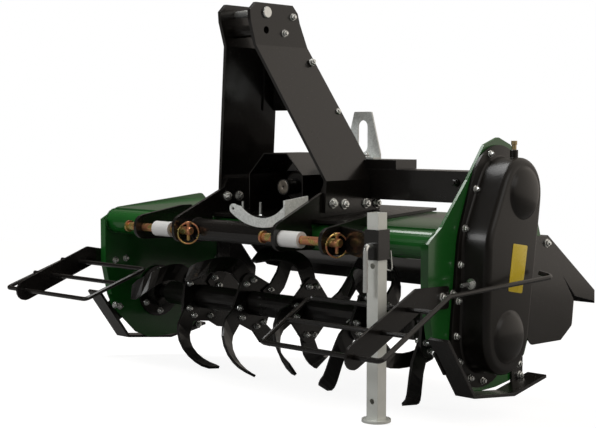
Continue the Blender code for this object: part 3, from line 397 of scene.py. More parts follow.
def makeMetal(name):
    values = metalLook[name]
    made, tree, shader = newFinish(name)
    place = tree.nodes.new("ShaderNodeTexCoord").outputs["Object"]
    cells = tree.nodes.new("ShaderNodeTexVoronoi")
    cells.inputs["Scale"].default_value = values["spangle"]
    tree.links.new(place, cells.inputs["Vector"])
    split = tree.nodes.new("ShaderNodeSeparateColor")
    tree.links.new(cells.outputs["Color"], split.inputs["Color"])
    cloudScale = values["spangle"] * crystalLook["cloudShare"]
    clouds = noiseNode(tree, cloudScale, crystalLook["cloudDetail"], place)
    crystals = mathNode(tree, "MULTIPLY", split.outputs[0], values["cells"])
    both = mathNode(tree, "MULTIPLY_ADD", clouds, 1.0 - values["cells"], crystals)
    wear = placeGroup(tree, edgeWear, Amount=crystalLook["edge"])
    stops = ((crystalLook["darkTo"], values["dark"]), (crystalLook["lightFrom"], values["light"]))
    tree.links.new(rampNode(tree, both, stops), shader.inputs["Base Color"])
    tree.links.new(spreadNode(tree, both, *values["rough"]), shader.inputs["Roughness"])
    shader.inputs["Metallic"].default_value = values["metal"]
    addBump(tree, shader, both, wear["Normal"], values["bump"], crystalLook["bumpDeep"])
    return made


yellowLook = {
    "gold": (0.62, 0.44, 0.14), "pink": (0.70, 0.27, 0.16), "green": (0.50, 0.52, 0.20),
    "stops": ((0.30, "green"), (0.42, "gold"), (0.52, "pink"), (0.66, "gold")),
    "scale": 34.0, "detail": 3.0, "metal": 0.8, "roughGain": 0.3, "roughFrom": 0.14,
    "edge": 0.3, "bump": 0.05,
}


def makeYellowZinc():
    # passivated zinc: gold that drifts to pink and green
    made, tree, shader = newFinish("yellowZinc")
    place = tree.nodes.new("ShaderNodeTexCoord").outputs["Object"]
    drift = noiseNode(tree, yellowLook["scale"], yellowLook["detail"], place)
    stops = [(level, yellowLook[colour]) for level, colour in yellowLook["stops"]]
    wear = placeGroup(tree, edgeWear, Amount=yellowLook["edge"])
    tree.links.new(rampNode(tree, drift, stops), shader.inputs["Base Color"])
    shader.inputs["Metallic"].default_value = yellowLook["metal"]
    rough = mathNode(tree, "MULTIPLY_ADD", drift, yellowLook["roughGain"], yellowLook["roughFrom"])
    tree.links.new(rough, shader.inputs["Roughness"])
    addBump(tree, shader, drift, wear["Normal"], yellowLook["bump"], crystalLook["bumpDeep"])
    return made


signLook = {
    "colour": (0.86, 0.66, 0.045), "deep": (0.78, 0.58, 0.035), "rough": (0.22, 0.34),
    "cloud": 22.0, "edge": 0.3, "bump": 0.03,
}


def makeSignYellow():
    made, tree, shader = newFinish("signYellow")
    grain = placeGroup(tree, sprayGrain, Cloud=signLook["cloud"])
    wear = placeGroup(tree, edgeWear, Amount=signLook["edge"])
    yellow = mixColours(tree, grain["Cloud"], signLook["deep"], signLook["colour"])
    tree.links.new(yellow, shader.inputs["Base Color"])
    tree.links.new(spreadNode(tree, grain["Cloud"], *signLook["rough"]), shader.inputs["Roughness"])
    addBump(tree, shader, grain["Height"], wear["Normal"], signLook["bump"], crystalLook["bumpDeep"])
    return made


finishes = {name: makePaint(name) for name in paintLook}
finishes.update({name: makeMetal(name) for name in metalLook})
finishes["yellowZinc"] = makeYellowZinc()
finishes["signYellow"] = makeSignYellow()
print("finishes made:", len(finishes))

# finishes on the CAD nodes, by the record's slots, with a few nodes of their own finish
slotFinish = {
    "green_paint": "greenPaint", "black_paint": "blackPaint", "case_black": "caseBlack",
    "tine_steel": "tineSteel", "galvanised": "galvanised", "yellow_zinc": "yellowZinc",
    "bare_steel": "bareSteel", "brass": "brassFitting",
}
nodeFinish = {
    "spacer_left": "paleSleeve", "spacer_right": "paleSleeve", "stand_leg": "rolledZinc",
    "lock_pin_handle": "shinyZinc", "lock_pin_tail": "shinyZinc", "tailgate_rod": "shinyZinc",
}
for part in frame["record"]["subparts"]:
    finishName = nodeFinish.get(part["node"], slotFinish[part["material_slot"]])
    nodeMesh = frame["nodes"][part["node"]].data
    nodeMesh.materials.clear()
    nodeMesh.materials.append(finishes[finishName])
print("finishes laid on the frame")

# the floor: white paper to the camera, with faint shadows, and a dull grey to reflections
floorLook = {"half": 14.0, "colour": (0.30, 0.30, 0.30), "rough": 0.9, "glow": 0.90}


def makeFloor():
    mesh = bpy.data.meshes.new("paleFloor")
    half = floorLook["half"]
    corners = [(-half, -half, 0), (half, -half, 0), (half, half, 0), (-half, half, 0)]
    mesh.from_pydata(corners, [], [(0, 1, 2, 3)])
    floor = bpy.data.objects.new("paleFloor", mesh)
    bpy.context.collection.objects.link(floor)
    made, tree, shader = newFinish("floorPaper")
    shader.inputs["Base Color"].default_value = (*floorLook["colour"], 1.0)
    shader.inputs["Roughness"].default_value = floorLook["rough"]
    shader.inputs["Specular IOR Level"].default_value = 0.0
    shader.inputs["Emission Strength"].default_value = floorLook["glow"]
    rays = tree.nodes.new("ShaderNodeLightPath")
    tree.links.new(rays.outputs["Is Camera Ray"], shader.inputs["Emission Color"])
    mesh.materials.append(made)


makeFloor()
print("floor laid")


# bolts, nuts and washers
boltLook = {
    "sizes": {
        "Head Radius": 0.0088, "Head Height": 0.0062, "Washer Radius": 0.0108, "Washer Thick": 0.0018,
        "Stud Radius": 0.005, "Stud Length": 0.004,
    },
    "washerSides": 18, "headSides": 6, "studSides": 10, "shoulder": 0.78, "crown": 0.22,
    "washerTaper": 0.94, "crownTaper": 0.80, "studTaper": 0.86, "seed": 3,
}
beadLook = {"sizes": {"Bead Radius": 0.0030, "Bead Step": 0.0030}, "least": 0.85, "most": 1.15, "seed": 5}


def openTree(name, shapeIn, shapeOut, look):
    # a tree with a shape, its sizes, a seed and a finish going in, and one shape coming out
    tree = bpy.data.node_groups.new(name, "GeometryNodeTree")
    face = tree.interface
    face.new_socket(shapeIn, in_out="INPUT", socket_type="NodeSocketGeometry")
    for label, value in look["sizes"].items():
        face.new_socket(label, in_out="INPUT", socket_type="NodeSocketFloat").default_value = value
    face.new_socket("Seed", in_out="INPUT", socket_type="NodeSocketInt").default_value = look["seed"]
    face.new_socket("Finish", in_out="INPUT", socket_type="NodeSocketMaterial")
    face.new_socket(shapeOut, in_out="OUTPUT", socket_type="NodeSocketGeometry")
    return tree, tree.nodes.new("NodeGroupInput").outputs, tree.nodes.new("NodeGroupOutput").inputs


def closeTree(tree, instances, finish, outcome):
    real = tree.nodes.new("GeometryNodeRealizeInstances")
    tree.links.new(instances, real.inputs[0])
    coat = tree.nodes.new("GeometryNodeSetMaterial")
    tree.links.new(real.outputs[0], coat.inputs["Geometry"])
    tree.links.new(finish, coat.inputs["Material"])
    tree.links.new(coat.outputs[0], outcome)


def makeBoltTree():
    # a washer, a hexagon with a chamfered crown and a stud end, set on each point along its axis attribute
    tree, given, result = openTree("boltSet", "Places", "Bolts", boltLook)

    def scaled(label, share):
        return mathNode(tree, "MULTIPLY", given[label], share)

    def ring(sides, low, high, depth, base=None):
        cone = tree.nodes.new("GeometryNodeMeshCone")
        cone.inputs["Vertices"].default_value = sides
        tree.links.new(high, cone.inputs["Radius Top"])
        tree.links.new(low, cone.inputs["Radius Bottom"])
        tree.links.new(depth, cone.inputs["Depth"])
        lift = tree.nodes.new("ShaderNodeCombineXYZ")
        if base is not None:
            tree.links.new(base, lift.inputs["Z"])
        move = tree.nodes.new("GeometryNodeTransform")
        tree.links.new(cone.outputs["Mesh"], move.inputs["Geometry"])
        tree.links.new(lift.outputs[0], move.inputs["Translation"])
        return move.outputs["Geometry"]

    shoulder = scaled("Head Height", boltLook["shoulder"])
    crown = scaled("Head Height", boltLook["crown"])
    crownBase = mathNode(tree, "ADD", given["Washer Thick"], shoulder)
    top = mathNode(tree, "ADD", given["Washer Thick"], given["Head Height"])
    washerTop = scaled("Washer Radius", boltLook["washerTaper"])
    crownTop = scaled("Head Radius", boltLook["crownTaper"])
    studTop = scaled("Stud Radius", boltLook["studTaper"])
    washer, hexagon, stud = boltLook["washerSides"], boltLook["headSides"], boltLook["studSides"]
    join = tree.nodes.new("GeometryNodeJoinGeometry")
    parts = (
        ring(washer, given["Washer Radius"], washerTop, given["Washer Thick"]),
        ring(hexagon, given["Head Radius"], given["Head Radius"], shoulder, given["Washer Thick"]),
        ring(hexagon, given["Head Radius"], crownTop, crown, crownBase),
        ring(stud, given["Stud Radius"], studTop, given["Stud Length"], top),
    )
    for shape in parts:
        tree.links.new(shape, join.inputs[0])
    axis = tree.nodes.new("GeometryNodeInputNamedAttribute")
    axis.data_type = "FLOAT_VECTOR"
    axis.inputs["Name"].default_value = "axis"
    align = tree.nodes.new("FunctionNodeAlignRotationToVector")
    align.axis = "Z"
    tree.links.new(axis.outputs[0], align.inputs["Vector"])
    chance = tree.nodes.new("FunctionNodeRandomValue")
    chance.data_type = "FLOAT"
    chance.inputs[3].default_value = pi / 3  # a hexagon looks the same past a sixth of a turn
    tree.links.new(given["Seed"], chance.inputs["Seed"])
    spin = tree.nodes.new("ShaderNodeCombineXYZ")
    tree.links.new(chance.outputs[1], spin.inputs["Z"])
    spread = tree.nodes.new("GeometryNodeInstanceOnPoints")
    tree.links.new(given["Places"], spread.inputs["Points"])
    tree.links.new(join.outputs[0], spread.inputs["Instance"])
    tree.links.new(align.outputs[0], spread.inputs["Rotation"])
    turn = tree.nodes.new("GeometryNodeRotateInstances")
    tree.links.new(spread.outputs[0], turn.inputs["Instances"])
    tree.links.new(spin.outputs[0], turn.inputs["Rotation"])
    closeTree(tree, turn.outputs[0], given["Finish"], result["Bolts"])
    return tree


def makeWeldTree():
    # a weld: small overlapping drops laid along the edges of a path
    tree, given, result = openTree("weldBead", "Path", "Weld", beadLook)
    line = tree.nodes.new("GeometryNodeMeshToCurve")
    tree.links.new(given["Path"], line.inputs["Mesh"])
    even = tree.nodes.new("GeometryNodeResampleCurve")
    even.mode = "LENGTH"
    tree.links.new(line.outputs[0], even.inputs["Curve"])
    tree.links.new(given["Bead Step"], even.inputs["Length"])
    drop = tree.nodes.new("GeometryNodeMeshIcoSphere")
    drop.inputs["Subdivisions"].default_value = 1
    tree.links.new(given["Bead Radius"], drop.inputs["Radius"])
    chance = tree.nodes.new("FunctionNodeRandomValue")
    chance.data_type = "FLOAT"
    chance.inputs[2].default_value = beadLook["least"]
    chance.inputs[3].default_value = beadLook["most"]
    tree.links.new(given["Seed"], chance.inputs["Seed"])
    spread = tree.nodes.new("GeometryNodeInstanceOnPoints")
    tree.links.new(even.outputs[0], spread.inputs["Points"])
    tree.links.new(drop.outputs["Mesh"], spread.inputs["Instance"])
    tree.links.new(chance.outputs[1], spread.inputs["Scale"])
    closeTree(tree, spread.outputs[0], given["Finish"], result["Weld"])
    return tree


boltTree = makeBoltTree()
weldTree = makeWeldTree()


def grown(name, mesh, tree, finish, body, sizes):
    # run a node tree on a mesh and keep the evaluated result as a mesh of its own
    worker = bpy.data.objects.new(name + "Worker", mesh)
    bpy.context.collection.objects.link(worker)
    step = worker.modifiers.new("grow", "NODES")
    step.node_group = tree
    sockets = {item.name: item.identifier for item in tree.interface.items_tree if item.in_out == "INPUT"}
    step[sockets["Finish"]] = finishes[finish]
    for label, value in sizes.items():
        spaced = "".join(" " + c if c.isupper() else c for c in label).title()
        step[sockets[spaced]] = value
    bpy.context.view_layer.update()
    graph = bpy.context.evaluated_depsgraph_get()
    result = bpy.data.meshes.new_from_object(worker.evaluated_get(graph))
    bpy.data.objects.remove(worker)
    result.name = name
    piece = bpy.data.objects.new(name, result)
    bpy.context.collection.objects.link(piece)
    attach(piece, body)
    return piece


def setBolts(name, places, body="frame", finish="shinyZinc", slotName="galvanised", **sizes):
    # places: (point on the machine, way the head faces)
    points = bpy.data.meshes.new(name + "Places")
    points.from_pydata([onMachine(p) for p, way in places], [], [])
    axis = points.attributes.new("axis", "FLOAT_VECTOR", "POINT")
    for item, (p, way) in zip(axis.data, places):
        item.vector = machineWay(way)
    grown(name, points, boltTree, finish, body, sizes)
    print("bolts set:", name, len(places))


def setWelds(name, lines, finish="blackPaint"):
    points, edges = [], []
    for line in lines:
        first = len(points)
        points += [onMachine(p) for p in line]
        edges += [(first + i, first + i + 1) for i in range(len(line) - 1)]
    path = bpy.data.meshes.new(name + "Path")
    path.from_pydata(points, edges, [])
    grown(name, path, weldTree, finish, "frame", {})
    print("welds laid:", name, len(lines))


# modelled pieces: meshes from points on the machine, closed and facing outwards
def addPiece(name, shapes, body, finish, smoothAngle=35.0):
    points, faces = [], []
    for shapePoints, shapeFaces in shapes:
        first = len(points)
        points += [onMachine(p) for p in shapePoints]
        faces += [tuple(first + i for i in face) for face in shapeFaces]
    mesh = bpy.data.meshes.new(name)
    mesh.from_pydata(points, [], faces)
    tidy = bmesh.new()
    tidy.from_mesh(mesh)
    bmesh.ops.recalc_face_normals(tidy, faces=tidy.faces)
    tidy.to_mesh(mesh)
    tidy.free()
    mesh.shade_smooth()
    mesh.set_sharp_from_angle(angle=radians(smoothAngle))
    mesh.materials.append(finishes[finish])
    piece = bpy.data.objects.new(name, mesh)
    bpy.context.collection.objects.link(piece)
    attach(piece, body)
    print("piece made:", name)
    return piece


def turnedShape(centre, axis, profile, sides=32, hollow=False):
    # rings of (place along the axis, radius); a hollow shape's last ring meets its first
    way = Vector(axis)
    side = way.orthogonal().normalized()
    other = way.cross(side)
    points = []
    for along, radius in profile:
        for i in range(sides):
            t = 2 * pi * i / sides
            point = Vector(centre) + way * along
            points.append(point + side * (radius * cos(t)) + other * (radius * sin(t)))
    faces = []
    count = len(profile)
    for r in range(count if hollow else count - 1):
        low, high = r * sides, (r + 1) % count * sides
        for i in range(sides):
            j = (i + 1) % sides
            faces.append((low + i, low + j, high + j, high + i))
    if not hollow:
        faces.append(tuple(range(sides)))
        faces.append(tuple(range((count - 1) * sides, count * sides)))
    return points, faces


def ringShape(centre, across, up, radius, wire, steps=44, sides=8):
    out = Vector(across).cross(Vector(up))
    points, faces = [], []
    for k in range(steps):
        t = 2 * pi * k / steps
        radial = Vector(across) * cos(t) + Vector(up) * sin(t)
        for i in range(sides):
            s = 2 * pi * i / sides
            points.append(Vector(centre) + radial * (radius + wire * cos(s)) + out * (wire * sin(s)))
    for k in range(steps):
        low, high = k * sides, (k + 1) % steps * sides
        for i in range(sides):
            j = (i + 1) % sides
            faces.append((low + i, low + j, high + j, high + i))
    return points, faces


def softCorners(corners, cut, steps=5):
    # corners of an outline in a plane, each rounded from a cut before it to a cut behind it
    outline = []
    for i, corner in enumerate(corners):
        here = Vector(corner)
        before = here + (Vector(corners[i - 1]) - here).normalized() * cut
        behind = here + (Vector(corners[(i + 1) % len(corners)]) - here).normalized() * cut
        for k in range(steps + 1):
            t = k / steps
            outline.append(before * (1 - t) ** 2 + here * (2 * t * (1 - t)) + behind * t ** 2)
    return outline


def stackedFaces(count, levels):
    # walls between outlines of the same number of points, and a face on the first and the last
    faces = []
    for r in range(levels - 1):
        for i in range(count):
            j = (i + 1) % count
            faces.append((r * count + i, r * count + j, (r + 1) * count + j, (r + 1) * count + i))
    faces.append(tuple(range(count)))
    faces.append(tuple(range((levels - 1) * count, levels * count)))
    return faces


def plateShape(outline, levels):
    # levels: (x, share of the outline about its middle)
    middle = sum(outline, Vector((0.0, 0.0))) / len(outline)
    count = len(outline)
    points = []
    for x, share in levels:
        points += [(x, *(middle + (p - middle) * share)) for p in outline]
    return points, stackedFaces(count, len(levels))


# chain case: the pressed cover, its bolts, a blank yellow plate, and the chain's adjusting stud
caseLook = {
    "low": (0.3148, -0.2338), "high": (0.3775, 0.115), "knee": (0.262, 0.004),
    "plate": 0.5653, "flangeFace": 0.5736, "face": 0.648,
    "flangeRadii": (0.134, 0.118, 0.054), "wallRadii": (0.0965, 0.0885, 0.0365), "softenings": (6, 10),
    "arcSteps": 96, "outlineSteps": 144, "flangeThick": 0.008, "round": 0.017, "roundSteps": 8,
    "flangeEdge": ((-0.0012, 0.0), (-0.0003, 0.0004), (0.0, 0.0012)),  # height from the flange, inset
    "wallFoot": ((-0.001, -0.006), (0.0006, -0.0045), (0.0025, -0.0018), (0.0060, 0.0)),
    "domeRadius": 0.062, "domeRise": 0.017, "domeDegrees": (10, 90, 8), "domeSides": 64,
    "domeFoot": ((-0.0010, 0.0045), (0.0003, 0.0030), (0.0016, 0.0008)),  # rise, past the dome's radius
    "neckRadius": 0.0100, "neckX": 0.6165, "neckTop": 0.220, "neckLength": 0.030, "neckEdge": 0.0012,
    "sign": ((0.329, -0.006), (0.394, -0.016), (0.371, -0.132), (0.309, -0.121)), "signRound": 0.005,
    "signLevels": ((0.0002, 1.0), (0.0007, 1.0), (0.0010, 0.985)),  # height from the face, share of outline
    "lowRing": 0.117, "highRing": 0.103, "lowAngles": (176, 209, 241, 269, 299, 330, 2),
    "highAngles": (-12, 50, 113, 174), "frontRow": ((0.230, 0.032), (0.213, -0.054), (0.206, -0.141)),
    "rearRow": ((0.461, 0.033), (0.454, -0.054), (0.443, -0.141)), "adjuster": (0.600, 0.2225, -0.099),
    "bolts": {"headRadius": 0.0082, "washerRadius": 0.0096, "headHeight": 0.0056},
    "adjusterSizes": {
        "headRadius": 0.0105, "washerRadius": 0.014, "washerThick": 0.003, "studRadius": 0.0058,
        "studLength": 0.032,
    },
}


def caseBoltPlaces():
    rows = list(caseLook["frontRow"]) + list(caseLook["rearRow"])
    for end in ("low", "high"):
        middle = Vector(caseLook[end])
        for degrees in caseLook[end + "Angles"]:
            t = radians(degrees)
            rows.append(middle + caseLook[end + "Ring"] * Vector((cos(t), sin(t))))
    return [((caseLook["flangeFace"], back, up), (1, 0, 0)) for back, up in rows]


def hullOf(points):
    # the outline that a string pulled round the points takes
    ordered = sorted({(round(p[0], 6), round(p[1], 6)) for p in points})

    def half(rows):
        line = []
        for p in rows:
            while len(line) > 1:
                a, b = line[-2], line[-1]
                if (b[0] - a[0]) * (p[1] - a[1]) - (b[1] - a[1]) * (p[0] - a[0]) > 0:
                    break
                line.pop()
            line.append(p)
        return line[:-1]

    return half(ordered) + half(reversed(ordered))


def evenOutline(outline, count):
    # the same closed outline with its points equally far apart
    line = [Vector(p) for p in outline] + [Vector(outline[0])]
    lengths = [0.0]
    for a, b in zip(line, line[1:]):
        lengths.append(lengths[-1] + (b - a).length)
    even, k = [], 0
    for i in range(count):
        want = lengths[-1] * i / count
        while lengths[k + 1] < want:
            k += 1
        even.append(line[k].lerp(line[k + 1], (want - lengths[k]) / (lengths[k + 1] - lengths[k])))
    return even


def caseOutline(radii, softenings):
    points = []
    steps, count = caseLook["arcSteps"], caseLook["outlineSteps"]
    for name, radius in zip(("low", "high", "knee"), radii):
        for k in range(steps):
            t = 2 * pi * k / steps
            points.append((caseLook[name][0] + radius * cos(t), caseLook[name][1] + radius * sin(t)))
    line = evenOutline(hullOf(points), count)
    for step in range(softenings):
        line = [(line[i - 1] + line[i] * 2 + line[(i + 1) % count]) / 4 for i in range(count)]
    return line


def liftedShape(outline, levels):
    # levels: (x, how far the outline is drawn in)
    count = len(outline)
    inward = []
    for i in range(count):
        along = (outline[(i + 1) % count] - outline[i - 1]).normalized()
        inward.append(Vector((-along.y, along.x)))
    points = []
    for x, inset in levels:
        points += [(x, *(p + way * inset)) for p, way in zip(outline, inward)]
    return points, stackedFaces(count, len(levels))


def makePressedCase():
    # the pressed cover: a flat flange, a wall with a rolled shoulder, two domes over the sprockets, a neck
    plate, face, bend = caseLook["plate"], caseLook["face"], caseLook["round"]
    flangeTop = plate + caseLook["flangeThick"]
    flangeSoft, wallSoft = caseLook["softenings"]
    flange = [(plate, 0.0)] + [(flangeTop + x, inset) for x, inset in caseLook["flangeEdge"]]
    shapes = [liftedShape(caseOutline(caseLook["flangeRadii"], flangeSoft), flange)]
    levels = [(flangeTop + x, inset) for x, inset in caseLook["wallFoot"]]
    for k in range(caseLook["roundSteps"] + 1):
        t = pi / 2 * k / caseLook["roundSteps"]
        levels.append((face - bend + bend * sin(t), bend * (1 - cos(t))))
    shapes.append(liftedShape(caseOutline(caseLook["wallRadii"], wallSoft), levels))
    radius, rise = caseLook["domeRadius"], caseLook["domeRise"]
    dome = [(x, radius + past) for x, past in caseLook["domeFoot"]]
    for degrees in range(*caseLook["domeDegrees"]):
        dome.append((rise * sin(radians(degrees)), radius * cos(radians(degrees))))
    for end in ("low", "high"):
        shapes.append(turnedShape((face, *caseLook[end]), (1, 0, 0), dome, sides=caseLook["domeSides"]))
    neck, edge = caseLook["neckRadius"], caseLook["neckEdge"]
    profile = ((-caseLook["neckLength"], neck), (-edge, neck), (0.0, neck - edge))
    neckEnd = (caseLook["neckX"], caseLook["high"][0], caseLook["neckTop"])
    shapes.append(turnedShape(neckEnd, (0, 0, 1), profile))
    case = addPiece("pressedCase", shapes, "frame", "caseBlack")
    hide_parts("chain_case")


makePressedCase()
setBolts("caseBolts", caseBoltPlaces(), **caseLook["bolts"])
setBolts("chainAdjuster", [(caseLook["adjuster"], (0, -1, 0))], **caseLook["adjusterSizes"])
signLevels = [(caseLook["face"] + x, share) for x, share in caseLook["signLevels"]]
signShape = plateShape(softCorners(caseLook["sign"], caseLook["signRound"]), signLevels)
addPiece("blankSign", [signShape], "frame", "signYellow")

# mast and hitch: bolts at the feet, at the head and down the brace's flange
mastLook = {
    "nearFoot": (0.1987, ((0.181, 0.080), (0.226, 0.076), (0.315, 0.074), (0.360, 0.073))),
    "farFoot": (-0.1777, ((0.167, 0.085), (0.212, 0.084))),
    "nearHead": (0.0593, ((0.178, 0.564), (0.146, 0.520))),
    "farHead": (-0.0487, ((0.178, 0.564), (0.146, 0.520))),
    "braceNear": ((0.0797, 0.231, 0.4475), (0.1227, 0.284, 0.3165)), "lean": 20.3,
    "footSizes": {
        "headRadius": 0.0112, "washerRadius": 0.0142, "washerThick": 0.0024, "headHeight": 0.0075,
    },
    "boltSizes": {"headRadius": 0.0088, "washerRadius": 0.0100},
    "pinBack": 0.079, "pinRise": 0.570, "pinRadius": 0.0095, "pinHead": 0.0150,
    "pinFar": -0.078, "pinNear": 0.0594, "pinPoint": (0.004, 0.7),
    "pinCrown": ((0.004, 1.0), (0.0060, 0.90), (0.0066, 0.55)),  # height from the leg, share of the head
}


def facePlaces(key, way):
    x, rows = mastLook[key]
    return [((x, back, up), way) for back, up in rows]


def mirrored(places):
    return [((-x, back, up), (-way[0], way[1], way[2])) for (x, back, up), way in places]


footPlaces = facePlaces("nearFoot", (1, 0, 0))
setBolts("mastFootBolts", footPlaces + facePlaces("farFoot", (1, 0, 0)), **mastLook["footSizes"])
setBolts("mastFootNuts", mirrored(footPlaces), **mastLook["footSizes"])
leanWay = (cos(radians(mastLook["lean"])), 0.0, sin(radians(mastLook["lean"])))
bracePlaces = [(p, leanWay) for p in mastLook["braceNear"]]
headPlaces = facePlaces("nearHead", (1, 0, 0))
mastPlaces = headPlaces + facePlaces("farHead", (1, 0, 0)) + mirrored(headPlaces)
setBolts("mastBolts", mastPlaces + bracePlaces + mirrored(bracePlaces), **mastLook["boltSizes"])


def makeTopPin():
    # the top-link pin: a flat round head on the near leg, and a pointed end past the far one
    near, far, radius, head = (mastLook[k] for k in ("pinNear", "pinFar", "pinRadius", "pinHead"))
    taper, tip = mastLook["pinPoint"]
    profile = [(far, radius * tip), (far + taper, radius), (near, radius), (near, head)]
    profile += [(near + x, head * share) for x, share in mastLook["pinCrown"]]
    shape = turnedShape((0.0, mastLook["pinBack"], mastLook["pinRise"]), (1, 0, 0), profile)
    pin = addPiece("topLinkPin", [shape], "frame", "shinyZinc")
    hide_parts("top_pin")


makeTopPin()

# lynch pins: a peg through the hitch pin, and a spring ring that swings round the pin's end
lynchLook = {
    "radius": 0.0045, "headRadius": 0.0085, "foot": -0.026, "point": (0.003, 0.6), "shank": 0.016,
    "headCurve": ((0.0175, 0.92), (0.0190, 1.0), (0.0235, 1.0), (0.025, 0.85)), "pegSides": 20,
    "ring": 0.0280, "ringTop": 0.0215, "wire": 0.0022, "ringTurn": {"left": 24.0, "right": 30.0},
}


def makeLynchPin(side):
    node = "lynch_pin_" + side
    pegX = fromWorld(middleOf(node)).x
    radius, head, foot = lynchLook["radius"], lynchLook["headRadius"], lynchLook["foot"]
    taper, tip = lynchLook["point"]
    profile = [(foot, radius * tip), (foot + taper, radius), (lynchLook["shank"], radius)]
    profile += [(rise, head * share) for rise, share in lynchLook["headCurve"]]
    turn = radians(lynchLook["ringTurn"][side])
    across = (sin(turn), cos(turn), 0.0)
    centre = (pegX, 0.0, lynchLook["ringTop"] - lynchLook["ring"])
    shapes = [
        turnedShape((pegX, 0.0, 0.0), (0, 0, 1), profile, sides=lynchLook["pegSides"]),
        ringShape(centre, across, (0, 0, 1), lynchLook["ring"], lynchLook["wire"]),
    ]
    pin = addPiece(node.replace("_", "") + "Ring", shapes, "frame", "yellowZinc")
    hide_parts(node)


makeLynchPin("left")
makeLynchPin("right")

# drive shaft: a smooth black cover over the splines, with the shaft's end in its mouth, and a black plug in
# the end's centre hole as painted shade
shaftLook = {
    "rise": 0.115, "mouth": 0.2040, "back": 0.2535, "outer": 0.0222, "inner": 0.0184, "edge": 0.001,
    # places are from the mouth, gaps to the bore, and shares of the hole
    "endRim": ((0.0025, 0.0003), (0.0005, 0.0003), (0.0002, 0.001)),
    "hole": 0.0044, "holeSteps": ((0.0002, 1.0), (0.0022, 0.3)),
    "holeShadeSteps": ((0.0018, 0.6), (0.0008, 0.85), (0.0006, 0.7)), "holeShadeSides": 16,
}


def makeShaftCover():
    mouth, back, outer, inner, edge = (shaftLook[k] for k in ("mouth", "back", "outer", "inner", "edge"))
    cover = ((mouth, inner), (mouth, outer - edge), (mouth + edge, outer), (back, outer), (back, inner))
    centre = (0.0, 0.0, shaftLook["rise"])
    shape = turnedShape(centre, (0, 1, 0), cover, hollow=True)
    addPiece("shaftCover", [shape], "pto", "blackPaint")
    hole = shaftLook["hole"]
    end = [(mouth + y, inner - gap) for y, gap in shaftLook["endRim"]]
    end += [(mouth + y, hole * share) for y, share in shaftLook["holeSteps"]]
    addPiece("shaftEnd", [turnedShape(centre, (0, 1, 0), end)], "pto", "bareSteel")
    # a black plug in the shallow centre hole: painted shade for the hole's dark depth
    holeShade = [(mouth + y, hole * share) for y, share in shaftLook["holeShadeSteps"]]
    holeShadePlug = turnedShape(centre, (0, 1, 0), holeShade, sides=shaftLook["holeShadeSides"])
    addPiece("centreHoleShade", [holeShadePlug], "pto", "blackPaint")


makeShaftCover()

# side plates: bolts of the guards, skids, wings and bearings
sideLook = {
    "drive": {"hand": 1, "outer": 0.565, "inner": 0.557},
    "plain": {"hand": -1, "outer": 0.650, "inner": 0.642},
    "guard": ((0.144, -0.125), (0.185, -0.122)), "skid": ((0.161, -0.268), (0.142, -0.262)),
    "skidRear": ((0.480, -0.332), (0.486, -0.362)),
    "wing": ((0.560, -0.060), (0.570, -0.150), (0.548, -0.262)),
    "lug": 0.0066, "bearingRing": 0.064, "bearingCount": 6, "bearingThick": 0.0081,
}


def sideBoltPlaces(side):
    values = sideLook[side]
    hand = values["hand"]
    outer, inner = hand * values["outer"], hand * values["inner"]
    places = []
    for key, proud in (("guard", "lug"), ("skid", "lug"), ("skidRear", "lug"), ("wing", None)):
        for back, up in sideLook[key]:
            places.append(((inner, back, up), (-hand, 0, 0)))
            if proud:
                places.append(((outer + hand * sideLook[proud], back, up), (hand, 0, 0)))
    rotor = Vector(caseLook["low"])
    for k in range(sideLook["bearingCount"]):
        t = 2 * pi * (k + 0.5) / sideLook["bearingCount"]
        at = rotor + sideLook["bearingRing"] * Vector((cos(t), sin(t)))
        places.append(((inner - hand * sideLook["bearingThick"], at.x, at.y), (-hand, 0, 0)))
        if side == "plain":
            places.append(((outer, at.x, at.y), (hand, 0, 0)))
    return places


setBolts("driveSideBolts", sideBoltPlaces("drive"))
setBolts("plainSideBolts", sideBoltPlaces("plain"))

# rotor: two bolts through each tine's root, a head on the tine and a nut behind the flange
rotorLook = {
    "first": -0.442, "pitch": 0.220, "turns": (0.0, -20.0, -43.0, -113.0, -90.0), "tines": 4,
    "straightDown": 270.0, "sweep": 45.0, "reach": 0.067, "spread": 0.0150, "tineFace": 0.0106,
    "flangeFace": 0.0041, "bolts": {"headRadius": 0.0088, "washerRadius": 0.0094, "studLength": 0.006},
}


def tineBoltPlaces():
    axis = Vector(caseLook["low"])
    places = []
    for i, turn in enumerate(rotorLook["turns"]):
        x = rotorLook["first"] + i * rotorLook["pitch"]
        phase = radians(rotorLook["straightDown"] - machineLook["parkPitch"] + turn - rotorLook["sweep"])
        for k in range(rotorLook["tines"]):
            way = phase + 2 * pi * k / rotorLook["tines"]
            hand = 1 if k % 2 == 0 else -1
            out, ahead = Vector((cos(way), sin(way))), Vector((-sin(way), cos(way)))
            for shift in (-rotorLook["spread"], rotorLook["spread"]):
                at = axis + out * rotorLook["reach"] + ahead * shift
                places.append(((x + hand * rotorLook["tineFace"], at.x, at.y), (hand, 0, 0)))
                places.append(((x - hand * rotorLook["flangeFace"], at.x, at.y), (-hand, 0, 0)))
    return places


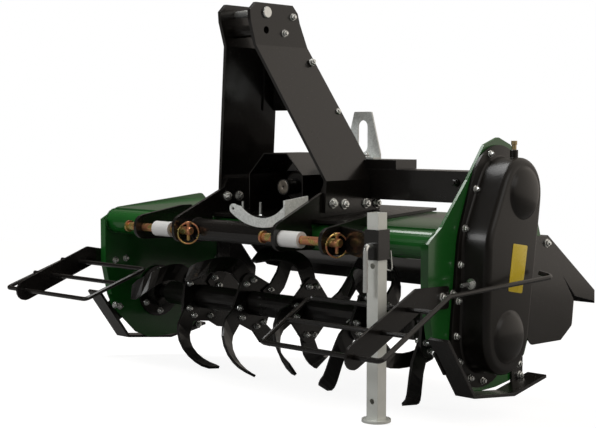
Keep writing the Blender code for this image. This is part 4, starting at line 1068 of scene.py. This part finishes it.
setBolts("tineBolts", tineBoltPlaces(), body="rotor", **rotorLook["bolts"])

# small fixings: the bracket's foot, the beam, two studs behind the shaft rest, and the hinge rod's nuts
fixingLook = {
    "bracketFoot": ((0.099, 0.368, 0.1956), (0.159, 0.368, 0.1956)), "beamBolt": (0.476, 0.3298, 0.136),
    "studs": ((-0.071, 0.122, 0.0362), (-0.005, 0.122, 0.0362)),
    "studSizes": {"headRadius": 0.0075, "washerRadius": 0.009, "studRadius": 0.0042, "studLength": 0.033},
    "rod": (0.617, -0.030), "rodEnds": (0.5694, -0.6544),
    "rodNutSizes": {"headRadius": 0.0095, "washerRadius": 0.012},
}
setBolts("bracketBolts", [(p, (0, 0, 1)) for p in fixingLook["bracketFoot"]])
setBolts("beamBolt", [(fixingLook["beamBolt"], (0, -1, 0))], finish="blackPaint", slotName="black_paint")
setBolts("standingStuds", [(p, (0, 0, 1)) for p in fixingLook["studs"]], **fixingLook["studSizes"])
rodPlaces = [((x, *fixingLook["rod"]), (1 if x > 0 else -1, 0, 0)) for x in fixingLook["rodEnds"]]
setBolts("hingeRodNuts", rodPlaces, **fixingLook["rodNutSizes"])

# welds where round tubes meet plates
weldLook = {
    "steps": 36, "tube": (0.147, -0.0057), "tubeRadius": 0.0365, "tubeEnds": (0.5560, -0.6410),
    "crossRadius": 0.0305, "crossEnds": (0.1775, -0.1775),
}


def weldRing(x, centre, radius):
    turns = [2 * pi * k / weldLook["steps"] for k in range(weldLook["steps"] + 1)]
    return [(x, centre[0] + radius * cos(t), centre[1] + radius * sin(t)) for t in turns]


tubeRings = [weldRing(x, weldLook["tube"], weldLook["tubeRadius"]) for x in weldLook["tubeEnds"]]
setWelds("tubeWelds", tubeRings, finish="greenPaint")
crossMiddle = fromWorld(middleOf("hitch_cross_tube"))
crossCentre = (crossMiddle.y, crossMiddle.z)
crossRings = [weldRing(x, crossCentre, weldLook["crossRadius"]) for x in weldLook["crossEnds"]]
setWelds("crossTubeWelds", crossRings)
